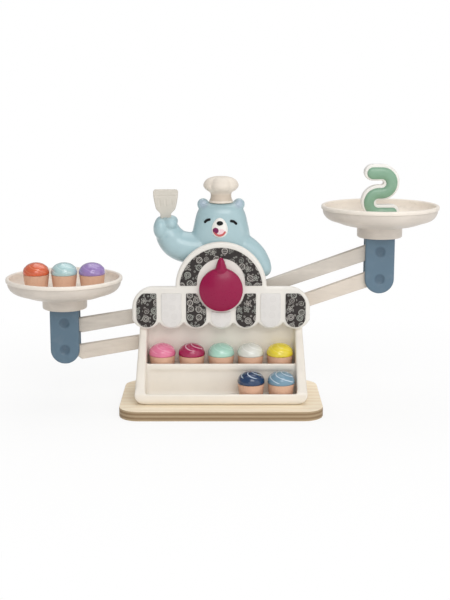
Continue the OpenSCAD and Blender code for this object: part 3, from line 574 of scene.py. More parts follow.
boardValues = Values(half=100.0, front=-87.0, back=32.0, thickness=10.0, corner=20.0, edge=0.9)


def makeBoard(v):
    outline = roundBox(-v.half, v.front, v.half, v.back, v.corner, 24)
    make("boardPiece", [plate(outline, 0, v.thickness, v.edge, lying=True)], "stand", plyFinish, "board", "base_board")


counterValues = Values(grain=0.92, passes=20, towerGrain=1.0, towerPasses=4, half=79.8, low=10.02,
    # the rooms to be filled: front, back and height
    rooms=((-35.4, -7.0, 32.9), (-10.0, 19.6, 44.3)),
    # the cap over the lower axle's end: x, z, radius, front and back
    cap=(3.3, 75.8, 3.8, -9.1, -6.5),
    # the trays' back corners: place, radius, lowest and highest point
    roomHalf=74.5, corners=((-8.5, 5.0, 33.0, 97.0), (-37.7, 4.0, 12.0, 39.0)),
    # the lips: y and z of the middle, reach in y and z, and how firmly they are held
    lips=((-66.6, 21, 6, 7), (-37.6, 44, 7, 7)), lipHold=0.85,
    # the foot's front edge and its low corners: middles and radii
    footY=-62.9, footZ=15.0, footRadius=5.0, cornerX=74.5, cornerZ=21.5, cornerRadius=10.5,
    cornerReach=(-50.0, 12.0))


def fillet(x, y, rx, ry, low, high):
    # fills an upright corner at x and y with a hollow quarter circle; rx and ry are the signed way into the room
    turn = np.linspace(0, pi / 2, 9)
    outX, outY = x - copysign(1, rx), y - copysign(1, ry)
    hollow = cast(x + rx - rx * np.sin(turn), y + ry - ry * np.cos(turn))
    return prism([(outX, outY), (x + rx, outY), *hollow, (outX, y + ry)], low, high)


def makeCounter(v):
    # the rooms under the trays and the deck are filled, and a flat cap covers the lower axle's end
    fillers = [prism([(-v.half, front), (v.half, front), (v.half, back), (-v.half, back)], v.low, high)
               for front, back, high in v.rooms]
    x, z, r, front, back = v.cap
    fillers.append(plate(arc(x, z, r, 0, 360, 33)[:-1], front, back, 0.1, 2))
    fillers += [fillet(side * v.roomHalf, y, -side * r, -r, low, high)
                for side in (-1, 1) for y, r, low, high in v.corners]

    def hold(points):
        # the thin lips keep more of their shape
        near = [1 - np.hypot((points[:, 1] - y) / deep, (points[:, 2] - z) / high) for y, z, deep, high in v.lips]
        return 1 - v.lipHold * within(2 * np.max(near, axis=0))
    counter = softCopy("counterPiece", "counter", v.grain, v.passes, hold, fillers)
    # the foot's front edge is pushed in to a quarter circle
    points = pointsOf(counter)
    deep, up = points[:, 1] - v.footY, points[:, 2] - v.footZ
    pull = beyond(-deep, -up, v.footRadius)
    points[:, 1:] -= cast(deep, up) * pull[:, None]
    # and its two low corners to larger ones, more so towards the front
    start, reach = v.cornerReach
    across, up = np.abs(points[:, 0]) - v.cornerX, points[:, 2] - v.cornerZ
    pull = beyond(across, -up, v.cornerRadius) * within((start - points[:, 1]) / reach)
    points[:, 0] -= np.sign(points[:, 0]) * across * pull
    points[:, 2] -= up * pull
    movePoints(counter, points)
    fit(eased(counter, 2, hold), "stand", creamPlastic, "cream", "counter")
    tower = softCopy("towerPiece", "pivot_tower", v.towerGrain, v.towerPasses)
    fit(tower, "stand", creamPlastic, "cream", "pivot_tower")


awningValues = Values(half=89.2, low=77.3, top=121.0, corner=22.0, pitch=24.9, lobe=15.65, archZ=120.3, archRadius=45.6,
    front=24.0, back=18.0, edge=2.5, ringOut=41.6, ringIn=24.0, ringZ=118.6, ringInnerZ=125.5,
    ringFoot=121.8, panelHalf=10.1, panelTop=114.0, panelLow=79.3, panelShoulder=18.6,
    discZ=118.5, surround=24.2, proud=0.8, proudEdge=0.35)


def awningOutline(v):
    # the lower rim is seven arcs; the upper one is a flat top with round shoulders and an arch in its middle
    valley = degrees(acos(v.pitch / 2 / v.lobe))
    outer = degrees(acos((v.half - 3 * v.pitch) / v.lobe))
    parts = [arc(k * v.pitch, v.low + v.lobe, v.lobe, 180 + (outer if k == -3 else valley),
                 360 - (outer if k == 3 else valley), 28) for k in range(-3, 4)]
    shoulder = v.top - v.corner
    foot = degrees(asin((v.top - v.archZ) / v.archRadius))
    parts += [arc(v.half - v.corner, shoulder, v.corner, 0, 90, 24),
              arc(0, v.archZ, v.archRadius, foot, 180 - foot, 80),
              arc(-v.half + v.corner, shoulder, v.corner, 90, 180, 24)]
    return resample(np.vstack(parts), 0.9)


def ringOutline(v):
    # the ring's inner rim is a half circle that stands on two short upright sides
    foot = degrees(asin((v.ringFoot - v.ringZ) / v.ringOut))
    return softened(resample(np.vstack([arc(0, v.ringZ, v.ringOut, foot, 180 - foot, 90), [(-v.ringIn, v.ringFoot)],
                                        arc(0, v.ringInnerZ, v.ringIn, 180, 0, 60), [(v.ringIn, v.ringFoot)]]), 0.6), 8)


def panelOutline(v, k):
    # a half circle below; above, a level rim that gives way to the disc's surround and the awning's shoulder
    lower = arc(k * v.pitch, v.panelLow + v.panelHalf, v.panelHalf, 180, 360, 40)
    across = lower[::-1, 0]
    upper = np.full(len(across), v.panelTop)
    if abs(k) == 3:
        out = np.maximum(np.abs(across) - (v.half - v.corner), 0)
        upper = np.minimum(upper, v.top - v.corner + np.sqrt(np.maximum(v.panelShoulder ** 2 - out ** 2, 0)))
    disc = v.discZ - np.sqrt(np.maximum(v.surround ** 2 - across ** 2, 0))
    upper = np.where(np.abs(across) < v.surround, np.minimum(upper, disc), upper)
    return softened(resample(np.vstack([lower, cast(across, upper)]), 0.5), 6)


def makeAwning(v):
    make("awningPiece", [plate(awningOutline(v), v.back, v.front, v.edge, side=-1)], "stand", awningPlastic, "cream",
         "awning_plate")
    for name, outlines, finish, slot, node in (
            ("archRingPiece", [ringOutline(v)], printFinish, "dark_print", "arch_ring"),
            ("darkPanelsPiece", [panelOutline(v, k) for k in (-3, -1, 1, 3)], printFinish, "dark_print",
             "dark_awning_panels"),
            ("lightPanelsPiece", [panelOutline(v, k) for k in (-2, 0, 2)], panelPlastic, "light_print",
             "light_awning_panels")):
        sheets = [plate(outline, v.front, v.front + v.proud, v.proudEdge, 3, bothEdges=False, side=-1)
                  for outline in outlines]
        make(name, sheets, "stand", finish, slot, node)


pointerValues = Values(z=118.5, back=-24.3, radius=21.8, thick=12.0, rim=6.0, edge=1.4, reach=32.6,
    # y, z and radius along the nozzle, which stays in front of the clearance
    nozzle=((-25.5, 130.5, 3.6), (-26.6, 134.5, 5.4), (-27.4, 138.0, 6.1), (-28.2, 141.2, 5.3),
        (-28.8, 144.5, 4.3), (-29.0, 147.8, 3.2), (-29.0, 150.0, 2.1)),
    flutes=8, fluteDepth=0.055, fluteStart=139, fluteRise=4, clearance=-25.1, grain=0.5, passes=7)


def makePointer(v):
    # the disc: a round edge, an upright rim and a dome that is part of a globe
    dome = v.thick - v.rim
    globe = (v.radius ** 2 + dome ** 2) / (2 * dome)
    top = arc(0, v.thick - globe, globe, 90 - degrees(asin(v.radius / globe)), 90 - degrees(0.01), 26)
    profile = np.vstack([[(0.4, 0.0)], arc(v.radius - v.edge, v.edge, v.edge, -90, 0, 5), top])
    points, faces, flat = turned(profile, 120)
    disc = cast(points[:, 0], v.back - points[:, 2], v.z + points[:, 1])
    # the nozzle: rings along the (y, z, radius) line, fluted towards the tip, ending in a small dome
    line = smoothLine(v.nozzle, 40)
    cap = np.radians(np.linspace(12, 84, 7))
    y, z, r = line[-1]
    tip = cast(y, z + (v.z + v.reach - z) * np.sin(cap), r * np.cos(cap))
    y, z, r = np.vstack([line, tip]).T[..., None]
    turn = circle(96)
    r = r * (1 + v.fluteDepth * np.cos(v.flutes * turn) * within((z - v.fluteStart) / v.fluteRise))
    nozzle = skin(cast(r * np.cos(turn), np.minimum(y + r * np.sin(turn), v.clearance), z))
    knob = melted(joinSkins("pointerPiece", [(disc, faces, flat), nozzle]), v.grain, v.passes)
    fit(knob, "pointer", berryPlastic, "berry", "pointer_knob")


# beams, posts and pans

beamValues = Values(pivotX=3.3, upperZ=103.8, gap=28.0, arm=164.5, rise=4.7, tilt=12.9, lean=1.0, half=7.7,
    dropRight=0.4, dropLeft=3.3, heel=8.4, heelReach=(9.4, 15.0), thick=8.0, edge=1.3,
    hub=9.0, hubFront=-5.7, hubBack=6.0, hubEdge=0.6)


def beamOutline(v, z):
    # both arms run out from the pivot and end in half circles
    right, left = v.rise + v.tilt + v.lean, 180 - v.rise + v.tilt + v.lean

    def armPoint(angle, along, across):
        a = radians(angle)
        return (v.pivotX + along * cos(a) - across * sin(a), z + along * sin(a) + across * cos(a))
    parts = [[armPoint(right, 0, -v.half - v.dropRight)],
             arc(*armPoint(right, v.arm, -v.dropRight), v.half, right - 90, right + 90, 30),
             [(v.pivotX, z + v.half - v.dropLeft)],
             arc(*armPoint(left, v.arm, v.dropLeft), v.half, left - 90, left + 90, 30)]
    outline = resample(np.vstack(parts), 1.4)
    # inside the left post the lower edge is raised, so that it clears the post's floor
    a = radians(left)
    off = outline - armPoint(left - v.lean, v.arm, 0)
    inward, down = np.array([-cos(a), -sin(a)]), np.array([-sin(a), cos(a)])
    start, stop = v.heelReach
    deepest = v.half + v.dropLeft + v.arm * sin(radians(v.lean))
    limit = v.heel + (deepest - v.heel) * within((off @ inward - start) / (stop - start))
    over = np.where(off @ inward < stop, np.maximum(off @ down - limit, 0), 0)
    return outline - over[:, None] * down


def makeBeams(v):
    # the upper beam takes the darker copy of the plastic, as painted shade
    for name, node, z, finish in (("upperBeamPiece", "upper_beam", v.upperZ, shadedBeamPlastic),
                                  ("lowerBeamPiece", "lower_beam", v.upperZ - v.gap, shellPlastic)):
        bar = plate(beamOutline(v, z), -v.thick / 2, v.thick / 2, v.edge)
        hub = plate(arc(v.pivotX, z, v.hub, 0, 360, 49)[:-1], v.hubFront, v.hubBack, v.hubEdge)
        make(name, [bar, hub], node, finish, "warm_cream", node)


postValues = Values(grain=0.75, passes=9, seam=2.5, seamHold=0.12, front=9.5, faceDepth=3.2, dimple=5.5, dent=1.75,
    steepness=5, left=(-159.52, 80.34), right=(160.10, 153.54), gap=28.0)


def makePosts(v):
    # the halves' outer edges are round and their seam stays narrow; a shallow bowl covers each pivot
    def seam(points):
        return np.clip(np.abs(points[:, 1]) / v.seam, v.seamHold, 1)
    for side in ("left", "right"):
        x, z = v[side]
        for part, out in (("front", -1), ("rear", 1)):
            node = side + "_post_" + part
            post = softCopy(side + part.capitalize() + "PostPiece", node, v.grain, v.passes, seam)
            points = pointsOf(post)
            face = points[:, 1] * out > v.front - v.faceDepth
            depth = np.zeros(len(points))
            for middle in (z, z - v.gap):
                far = np.hypot(points[:, 0] - x, points[:, 2] - middle) / v.dimple
                depth += face * (1 - within(far) ** v.steepness)
            points[depth > 0, 1] = out * (v.front - v.dent * depth[depth > 0])
            movePoints(post, points)
            # painted shade: the bowl's depth darkens the post's colour there
            mark(post, "bowl", depth)
            fit(eased(post, 1), side + "_carrier", postPlastic, "post_blue", node)


panValues = Values(radius=59.0, step=1.4, wall=2.2, depth=13.5, curve=9.0, height=32.6, collarRadius=22.6,
    collarHeight=10.6, collarEdge=1.8, lip=1.4, lipPoints=(25, 29), left=(-159.52, 126.94), right=(160.10, 200.14))


def panProfile(v):
    # inside from the middle to the rim, over the lip, down the outside, under the dish and down the collar
    side, foot, outer = v.radius - v.step, v.height - v.collarHeight, v.curve + v.wall
    lipHalf = (v.radius - side + v.wall) / 2
    return np.vstack([
        [(0.5, -v.depth), (20, -v.depth), (38, -v.depth)], arc(side - outer, v.curve - v.depth, v.curve, -90, 0, 14),
        arc(0, 0, 1, 180, 0, 9) * (lipHalf, v.lip) + (v.radius - lipHalf, -v.lip),
        [(59, -3.4), (58.8, -3.8), (57.9, -4.0), (57.6, -4.6)],
        arc(side - outer, v.curve - v.depth, outer, -6, -84, 16),
        [(43, -17.4), (39, -18.9), (34, -20.2), (29, -21.2), (25.4, -foot + 0.15), (24, -foot - 0.05),
         (23.1, -foot - 0.35), (22.7, -foot - 0.9)],
        arc(v.collarRadius - v.collarEdge, v.collarEdge - v.height, v.collarEdge, 0, -90, 7),
        [(12, -v.height), (0.5, -v.height)]])


def makePans(v):
    profile, count = panProfile(v), 160
    # 1 on the profile's points from the dish's middle over its lip, 0 further on: where the dish's painted light goes
    inside = np.interp(np.arange(len(profile)), v.lipPoints, [1, 0])
    for side in ("left", "right"):
        x, z = v[side]
        pan = joinSkins(side + "PanPiece", [turned(profile, count, (x, 0, z))])
        mark(pan, "inside", np.concatenate([np.repeat(inside, count), [1, 0]]))
        fit(pan, side + "_carrier", panPlastic, "warm_cream", side + "_pan")


# bear

bearValues = Values(y=-2.0, ear=(17.9, 201.0, 6.2, 5.6), grain=0.9, passes=7, corner=0.86,
    # height, half width, half depth and how far back the middle lies
    rings=[(125.5, 23.5, 14.5, 2.0), (126.5, 25.0, 16.2, 2.0), (130, 26.3, 17.5, 2.0),
        (140, 27.8, 18.0, 2.0), (152, 28.8, 18.2, 2.0), (164, 29.3, 18.2, 1.8),
        (173, 28.8, 18.2, 1.6), (181, 27.1, 18.2, 1.2), (189, 25.3, 17.8, 0.8),
        (195, 23.0, 16.4, 0.5), (199, 19.8, 14.0, 0.3), (202, 14.5, 10.5, 0), (203.6, 6.0, 4.5, 0)],
    # x, y from the bear's middle, z and radius along each arm
    raised=((-8, 0, 152, 15), (-24, 0, 155.5, 16), (-38, 0, 158.1, 15.6), (-46, 0, 162, 15),
        (-51.5, -0.5, 168.7, 14), (-54.9, 1, 176.4, 12)),
    lowered=((12, 0, 158, 12), (22, 0, 158, 13), (33, -1, 150.3, 11.8), (39.5, -2, 142, 10.2),
        (42, -3, 136.5, 9.3)),
    # the paw's lobes: x, y to each side, z and radii
    lobes=((-60.6, 7.4, 177.4, (7.3, 8.8, 10.8)), (-50.3, 8.0, 182.8, (7.0, 7.4, 6.2))))


def bearRing(v, z):
    # half width, half depth and place of the middle at a height
    line = smoothLine(v.rings, 400)
    return [np.interp(z, line[:, 0], line[:, k]) for k in (1, 2, 3)]


def bearTrunk(v):
    # stacked ovals with soft corners: x and y are powers of the cosine and the sine
    low, high = v.rings[0][0], v.rings[-1][0]
    z = (low + (high - low) * (1 - np.cos(np.linspace(0, pi, 70))) / 2)[:, None]
    w, d, b = bearRing(v, z)
    turn = circle(96)
    x, y = (np.sign(wave) * np.abs(wave) ** v.corner for wave in (np.cos(turn), np.sin(turn)))
    return skin(cast(w * x, v.y + b + d * y, z))


def frontOf(v, x, z):
    # where the face's skin lies at x and z
    w, d, b = bearRing(v, z)
    share = np.clip(np.abs(x) / w, 0, 0.999) ** (1 / v.corner)
    return v.y + b - d * np.sqrt(1 - share ** 2) ** v.corner


def makeBear(v):
    parts = [bearTrunk(v)]
    for arm, count in ((v.raised, 40), (v.lowered, 36)):
        arm = np.array(arm) + (0, v.y, 0, 0)
        radii = np.interp(np.linspace(0, len(arm) - 1, count), np.arange(len(arm)), arm[:, 3])
        parts.append(limb(smoothLine(arm[:, :3], count), radii))
    # the paw's two lobes meet in a crease below the spatula's handle, in front and behind
    earX, earZ, r, depth = v.ear
    for side in (-1, 1):
        parts += [ball((x, v.y + side * y, z), radii) for x, y, z, radii in v.lobes]
        parts.append(ball((side * earX, v.y, earZ), (r, depth, r)))
    body = melted(joinSkins("bearPiece", parts), v.grain, v.passes)
    fit(body, "stand", bearPlastic, "bear_blue", "bear_front", "bear_back")


faceValues = Values(muzzle=(-1.3, 179.3), muzzleHalf=(8.0, 10.1), narrow=0.17,
    # share of the muzzle's half sizes and how far it stands out there
    muzzleRings=((1.0, -0.8), (1.0, 0.05), (0.985, 0.45), (0.94, 0.95), (0.85, 1.6), (0.7, 2.2),
        (0.5, 2.65), (0.25, 2.85), (0.06, 2.9)),
    # the same of a button, as shares of its height
    buttonRings=((1.0, -0.6), (1.0, 0.25), (0.93, 0.7), (0.75, 0.92), (0.45, 1.0), (0.1, 1.0)),
    leftEye=[(-15.7, 185.1), (-13.9, 186.8), (-11.5, 187.5)],
    rightEye=[(10.2, 186.1), (12.8, 185.4), (15.0, 183.3)], eyeRadius=1.35,
    smile=[(-6.4, 175.2), (-4.4, 172.9), (-1.4, 171.9), (1.6, 172.8), (3.8, 175.2)], smileRadius=1.15,
    # place, half sizes and height
    nose=((-1.1, 184.3), (3.3, 2.2), 1.3), tongue=((-5.3, 176.9), (2.95, 2.95), 0.9),
    mouth=((0.3, 175.7), (3.6, 2.6), 0.3))


def makeFace(v, f):
    # muzzle: an egg laid on the face, narrower at its top, in rings that rise towards its middle
    turn = circle(64)
    share, proud = np.array(f.muzzleRings).T[..., None]

    def muzzleLift(x, z):
        # how far the muzzle stands out at x and z
        up = (z - f.muzzle[1]) / f.muzzleHalf[1]
        across = (x - f.muzzle[0]) / (f.muzzleHalf[0] * (1 - f.narrow * up))
        return np.interp(np.hypot(across, up), share[::-1, 0], proud[::-1, 0], right=0)
    x = f.muzzle[0] + f.muzzleHalf[0] * share * np.cos(turn) * (1 - f.narrow * share * np.sin(turn))
    z = f.muzzle[1] + f.muzzleHalf[1] * share * np.sin(turn)
    make("muzzlePiece", [skin(cast(x, frontOf(v, x, z) - proud, z))], "stand", whitePlastic, "light_print")

    def stroke(name, points, radius, finish):
        x, z = smoothLine(points, 24).T
        path = cast(x, frontOf(v, x, z) - muzzleLift(x, z), z)
        make(name, [limb(path, np.full(24, radius), 16, 0.8)], "stand", finish, "dark_print")

    def button(name, middle, half, height, finish, slot):
        # a low oval button that follows the skin below it
        size, lift = np.array(f.buttonRings).T[..., None]
        x = middle[0] + half[0] * size * np.cos(turn)
        z = middle[1] + half[1] * size * np.sin(turn)
        y = frontOf(v, x, z) - muzzleLift(x, z) - lift * height
        make(name, [skin(cast(x, y, z))], "stand", finish, slot)
    stroke("leftEyePiece", f.leftEye, f.eyeRadius, blackPlastic)
    stroke("rightEyePiece", f.rightEye, f.eyeRadius, blackPlastic)
    button("nosePiece", *f.nose, blackPlastic, "dark_print")
    button("mouthPiece", *f.mouth, blushPlastic, "light_print")
    stroke("smilePiece", f.smile, f.smileRadius, smilePlastic)
    button("tonguePiece", *f.tongue, tonguePlastic, "berry")


hatValues = Values(y=-2.0, low=203.0, lobes=5, crease=1.7, bandHigh=8.2, puffRise=6, puffRadius=13,
    profile=[(0.5, 0), (11.3, 0), (11.9, 0.3), (12.0, 0.9), (11.7, 1.9), (11.0, 3.2), (10.5, 5.0),
        (10.3, 7.0), (10.5, 8.9), (11.5, 10.4), (13.4, 11.6), (15.6, 13.2), (17.2, 15.2),
        (17.8, 17.2), (17.2, 19.6), (15.4, 22.2), (12.4, 24.3), (8.4, 25.5), (4.0, 25.95),
        (0.5, 26.0)])


def makeHat(v):
    # the crown is drawn in along creases between its lobes, one of which faces the front
    def puff(turn, p):
        rise = within((p[:, 1:] - v.bandHigh) / v.puffRise) * within(p[:, :1] / v.puffRadius) ** 1.5
        lobe = np.abs(np.cos(v.lobes * (turn + pi / 2) / 2))
        return -v.crease * rise * (1 - lobe) ** 1.7
    crown = turned(smoothLine(v.profile, 90), 200, (0, v.y, v.low), puff)
    make("hatPiece", [crown], "stand", hatPlastic, "hat", "cook_hat")


spatulaValues = Values(x=-55.5, middle=-2.0, grain=0.42, passes=12, dent=0.225, fade=1.5,
    grooves=(-5.6, 0.0, 5.6), grooveLow=198.5, grooveHigh=206.5, grooveWidth=0.7, line=209.4, lineHalf=9.5,
    lineWidth=0.6, bladeLow=194.0, bulge=0.075, corner=3.2)


def makeSpatula(v):
    # three shallow upright grooves and one level line are pressed into both faces of the blade
    blade = softCopy("spatulaPiece", "spatula", v.grain, v.passes)
    points = pointsOf(blade)
    x, z = points[:, 0] - v.x, points[:, 2]
    ends = within((z - v.grooveLow) / v.fade) * within((v.grooveHigh - z) / v.fade)
    dent = sum(np.exp(-((x - g) / v.grooveWidth) ** 2) for g in v.grooves) * ends
    dent += np.exp(-((z - v.line) / v.lineWidth) ** 2) * within((v.lineHalf - np.abs(x)) / v.fade)
    points[:, 1] = v.middle + (points[:, 1] - v.middle) * (1 - v.dent * dent)
    # the blade's sides bow out a little and its top corners are round
    high, half = z.max(), np.abs(x).max()
    bow = np.sin(pi * within((z - v.bladeLow) / (high - v.bladeLow)))
    x = np.clip(x * (1 + v.bulge * bow), -half, half)
    across, up = np.abs(x) - (half - v.corner), z - (high - v.corner)
    pull = beyond(across, up, v.corner)
    points[:, 0], points[:, 2] = v.x + x - np.sign(x) * across * pull, z - up * pull
    movePoints(blade, points)
    fit(blade, "stand", bladePlastic, "hat", "spatula")


# cupcakes

cakeValues = Values(icingRadius=13.5, icingHeight=12.2, rim=1.95, cupTop=13.1, cupLow=11.2, cupHeight=15.8,
    swirls=5, twist=2.2, ridge=0.28, ridgeLow=1.2, ridgeRise=2.5, ridgeMiddle=5, lineFade=0.12,
    pleats=44, deepPleat=0.22, pleat=0.08)
# place, icing colour, line colour, how clear the lines are, how low they start, turn of the swirl
cakes = {
    "orange": ((-187.92, 0, 113.44), (216, 98, 58), (238, 156, 118), 0.35, 0.1, 0.9),
    "skyblue": ((-159.52, 0, 113.44), (176, 208, 210), (216, 232, 232), 0.5, 0.1, 2.0),
    "purple": ((-131.12, 0, 113.44), (156, 130, 190), (190, 170, 216), 0.35, 0.1, 3.1),
    "pink": ((-59.4, -22.3, 34.6), (228, 122, 156), (246, 178, 200), 0.4, 0.2, 0.2),
    "magenta": ((-29.7, -22.3, 34.6), (162, 2, 74), (240, 196, 214), 0.8, 0.46, 1.2),
    "mint": ((0, -22.3, 34.6), (172, 216, 198), (212, 238, 228), 0.4, 0.2, 2.4),
    "white": ((29.7, -22.3, 34.6), (222, 222, 213), (246, 246, 242), 0.5, 0.2, 3.3),
    "yellow": ((59.4, -22.3, 34.6), (234, 212, 50), (248, 236, 130), 0.4, 0.2, 4.0),
    "navy": ((29.7, -52.9, 13.4), (4, 48, 90), (206, 220, 234), 0.8, 0.46, 5.1),
    "greyblue": ((59.4, -52.9, 13.4), (110, 146, 168), (208, 222, 234), 0.8, 0.1, 0.7)}


def icingFinish(name, colour, stripe, strength):
    finish = Finish(name + "Icing", coat=0.7, coatRough=0.07, shine=0.5)
    fine, cloud = finish.noise(700, 2), finish.noise(90, 2)
    line = (finish.mark("swirl") + (cloud - 0.5) * 0.08).ramp(0.87, 0.97, 0, strength)
    body = cloud.ramp(0.3, 0.7).mix(shade(linear(*colour), 0.95), shade(linear(*colour), 1.05))
    return finish.feed(colour=line.mix(body, linear(*stripe)), rough=fine.ramp(0.2, 0.8, 0.16, 0.28),
                       normal=(fine * 0.2 + cloud).bump(0.1, 0.0005))


def cupFinish():
    finish = Finish("paperCup", shine=0.35)
    cloud, fleck = finish.noise(60, 3), finish.noise(520, 3)
    tint = cloud.ramp(0.3, 0.7).mix(linear(224, 182, 154), linear(214, 170, 144))
    tint = fleck.ramp(0.6, 0.75, 0, 0.3).mix(tint, linear(200, 150, 118))
    return finish.feed(colour=tint, rough=fleck.ramp(0.2, 0.8, 0.5, 0.66), normal=fleck.bump(0.08, 0.0004))


def makeCake(v, name, place, colour, stripe, strength, start, spin, cupMaterial):
    # the cup: a straight side between a small foot radius and a small rim radius, with upright pleats
    pleat = v.deepPleat if name == "greyblue" else v.pleat
    low, top, high = v.cupLow, v.cupTop, v.cupHeight

    def pleated(turn, p):
        side = (p[:, :1] > 9) & (p[:, 1:] > 0.5) & (p[:, 1:] < high - 0.2)
        return pleat * (np.cos(v.pleats * turn) - 1) * side
    profile = [(0.5, 0), (low - 0.9, 0), (low - 0.3, 0.2), (low, 0.8), ((low + top) / 2, high / 2),
               (top - 0.12, high - 0.8), (top - 0.3, high - 0.1), (top - 0.9, high), (0.5, high)]
    cup = turned(profile, 176, place, pleated)
    make(name + "CupPiece", [cup], name + "_cupcake", cupMaterial, "cup", name + "_cup")
    # the dome: its rim curls under, and shallow ridges wind up to the middle
    angle, count = np.linspace(0, pi / 2, 40), 120
    dome = cast(v.icingRadius * np.cos(angle), v.rim + (v.icingHeight - v.rim) * np.sin(angle) ** 0.96)
    dome[-1, 0] = 0.25
    profile = np.vstack([[(0.5, 0), (9, 0), (12.5, 0.02), (13.1, 0.3), (13.38, 0.85), (13.47, 1.4)], dome])

    def winding(turn, p):
        # 1 in a groove of the swirl, 0 on its ridge
        height = within(p[:, 1:] / v.icingHeight)
        return 0.5 + 0.5 * np.cos(v.swirls * turn + spin + v.twist * 2 * pi * height ** 1.3)

    def ridged(turn, p):
        share = within((p[:, 1:] - v.ridgeLow) / v.ridgeRise) * within(p[:, :1] / v.ridgeMiddle)
        return -v.ridge * share * winding(turn, p) ** 3
    icing = joinSkins(name + "IcingPiece", [turned(profile, count, (place[0], place[1], place[2] + high), ridged)])
    lined = winding(circle(count), profile) * within((profile[:, 1:] / v.icingHeight - start) / v.lineFade)
    mark(icing, "swirl", np.concatenate([lined.ravel(), [0, 0]]))
    fit(icing, name + "_cupcake", icingFinish(name, colour, stripe, strength), name, name + "_icing")


numberValues = Values(x=160.10, z=186.64, turn=4.0, thick=9.0, face=2.94, margin=2.3, drop=0.7,
    corner=1.6, flatten=0.35, barLeft=-16.9, bowRight=18.4, bowLeft=-19.8, footRight=18.5,
    # height of each bar's middle and half its stroke, from the foot up
    bars=((7.05, 7.05), (26.25, 7.65), (46.25, 8.25)))


def makeNumber(v):
    # the middle line of a two: bar, bow, bar, bow, bar, with a section carried along it
    middles, halves = np.array(v.bars).T
    high, low = (middles[2] - middles[1]) / 2, (middles[1] - middles[0]) / 2
    right, left = v.bowRight - high - halves[1:].mean(), v.bowLeft + low + halves[:2].mean()
    line = np.vstack([[(v.barLeft + halves[2], middles[2])], arc(right, middles[1] + high, high, 90, -90, 30),
                      arc(left, middles[0] + low, low, 90, 270, 30), [(v.footRight - halves[0], middles[0])]])
    line = spaced(line, count=150)
    for _ in range(4):
        line[1:-1] = (line[:-2] + 2 * line[1:-1] + line[2:]) / 4
    a = radians(v.turn)

    def carried(section, inset, drop, flatten):
        # section: (share across, depth) points; flatten is how much of its depth is left at the two ends
        places, ahead, half, share = capped(line, np.interp(line[:, 1], middles, halves) - inset, 86)
        normal = cast(-ahead[:, 1], ahead[:, 0])
        out = (half * share)[:, None] * section[:, 0]
        x, z = np.moveaxis(places[:, None] + normal[:, None] * out[..., None], -1, 0)
        deepest = section[:, 1].max()
        depth = deepest - (deepest - section[:, 1]) * (flatten + (1 - flatten) * share[:, None])
        return skin(cast(v.x + x * cos(a) - depth * sin(a),
                         x * sin(a) + depth * cos(a), v.z + z - drop))
    # the body's section is a flat bar with round corners, the face's a low pillow
    t, half = v.thick / 2, halves[1]
    bar = roundBox(-half, -t, half, t, v.corner, 6) / [half, 1]
    make("numberBodyPiece", [carried(bar, 0, 0, 1)], "number_weight", whitePlastic, "number_white", "number_body")
    pillow = arc(0, 0, 1, 180, 360, 19) * (1, v.face) - (0, t)
    face = carried(pillow, v.margin, v.drop, v.flatten)
    make("numberFacePiece", [face], "number_weight", mintPlastic, "number_mint", "number_face")


makeBoard(boardValues)
makeCounter(counterValues)
print("counter ready")
makeAwning(awningValues)
makePointer(pointerValues)
makeBeams(beamValues)
makePosts(postValues)
makePans(panValues)
print("moving parts ready")
makeBear(bearValues)
makeFace(bearValues, faceValues)
makeHat(hatValues)
makeSpatula(spatulaValues)
print("bear ready")
paperCup = cupFinish()
for cakeName, cake in cakes.items():
    makeCake(cakeValues, cakeName, *cake, paperCup)
makeNumber(numberValues)
print("cupcakes and number ready")

for nodeName in ("upper_beam_axle", "lower_beam_axle", "base_screws", "deck_screws", "cover_screws", "awning_screws",
                 "bear_screws", "pointer_washer", "pointer_screw", "left_post_pins", "right_post_pins", "rear_cover"):
    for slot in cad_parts[nodeName].material_slots:
        slot.material = creamPlastic if nodeName == "rear_cover" else steel


# floor, light and camera; lengths in metres but for the camera's place

stageValues = Values(floor=6.0, world=0.43, aim=(0.0, 0.0, 0.11),
    # power, place and width
    lamps={"keyLamp": (8.6, (0.28, -1.32, 1.2), 0.9), "fillLamp": (3.4, (1.1, -0.9, 0.6), 1.2),
        "topLamp": (8.4, (0.1, 0.5, 1.5), 1.4), "frontLamp": (7.4, (0.15, -2.2, 0.7), 1.8)},
    camera=(0.8878, -1206.45, 344.92), pitch=11.362, yaw=-0.149, lens=72.296)


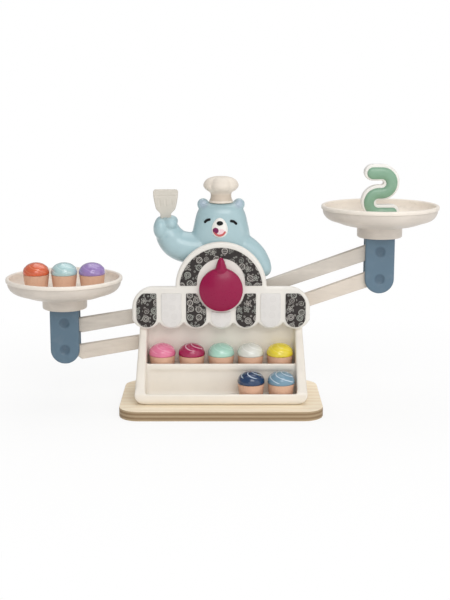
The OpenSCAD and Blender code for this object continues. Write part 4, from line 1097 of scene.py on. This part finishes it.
def makeFloor(v):
    mesh = bpy.data.meshes.new("floor")
    corners = [(x * v.floor, y * v.floor, 0) for x, y in ((-1, -1), (1, -1), (1, 1), (-1, 1))]
    mesh.from_pydata(corners, [], [(0, 1, 2, 3)])
    # the paper fades to plain white away from the object, where the camera or a reflection sees it
    finish = Finish("floorPaper", colour=linear(250, 249, 247), rough=0.8, shine=0.2)
    x, y, z = finish.axes(finish.place())
    far = ((x * x * 0.5 + y * y) ** 0.5).ramp(0.12, 0.42)
    camera, glossy = finish.add("LightPath", out=("Is Camera Ray", "Is Glossy Ray"))
    glow = finish.add("Emission", {"Color": (1.0, 1.0, 1.0), "Strength": 1.0})
    share = (far * 0.15 + 0.85) * camera.most(glossy)
    finish.put(finish.last.inputs[0], finish.add("MixShader", {0: share, 1: finish.shown, 2: glow}))
    mesh.materials.append(finish.material)
    put(mesh)


def makeLight(v):
    # a dim white world that the camera sees as plain white, and four soft lamps
    scene.world = bpy.data.worlds.new("studio")
    studio = Tree(scene.world)
    ray = studio.add("LightPath", out="Is Camera Ray")
    lit, plain = (studio.add("Background", {0: (1.0, 1.0, 1.0), 1: strength}) for strength in (v.world, 1.0))
    studio.add("OutputWorld", {0: studio.add("MixShader", {0: ray, 1: lit, 2: plain})}, ())
    for name, (power, spot, wide) in v.lamps.items():
        lamp = bpy.data.lights.new(name, "AREA")
        lamp.energy, lamp.size = power, wide
        holder = bpy.data.objects.new(name, lamp)
        holder.location = spot
        x, y, z = np.array(v.aim) - spot
        holder.rotation_euler = (acos(-z / hypot(x, y, z)), 0, atan2(y, x) - pi / 2)
        scene.collection.objects.link(holder)


def makeCamera(v):
    lens = bpy.data.cameras.new("camera")
    lens.sensor_fit, lens.sensor_height, lens.lens = "VERTICAL", 36.0, v.lens
    lens.clip_start, lens.clip_end = 0.05, 30.0
    camera = bpy.data.objects.new("camera", lens)
    camera.location = tuple(c * 0.001 for c in v.camera)
    camera.rotation_euler = (radians(90 - v.pitch), 0, radians(v.yaw))
    scene.collection.objects.link(camera)
    scene.camera = camera
    scene.view_settings.view_transform = "Standard"


makeFloor(stageValues)
makeLight(stageValues)
makeCamera(stageValues)
print("stage ready")
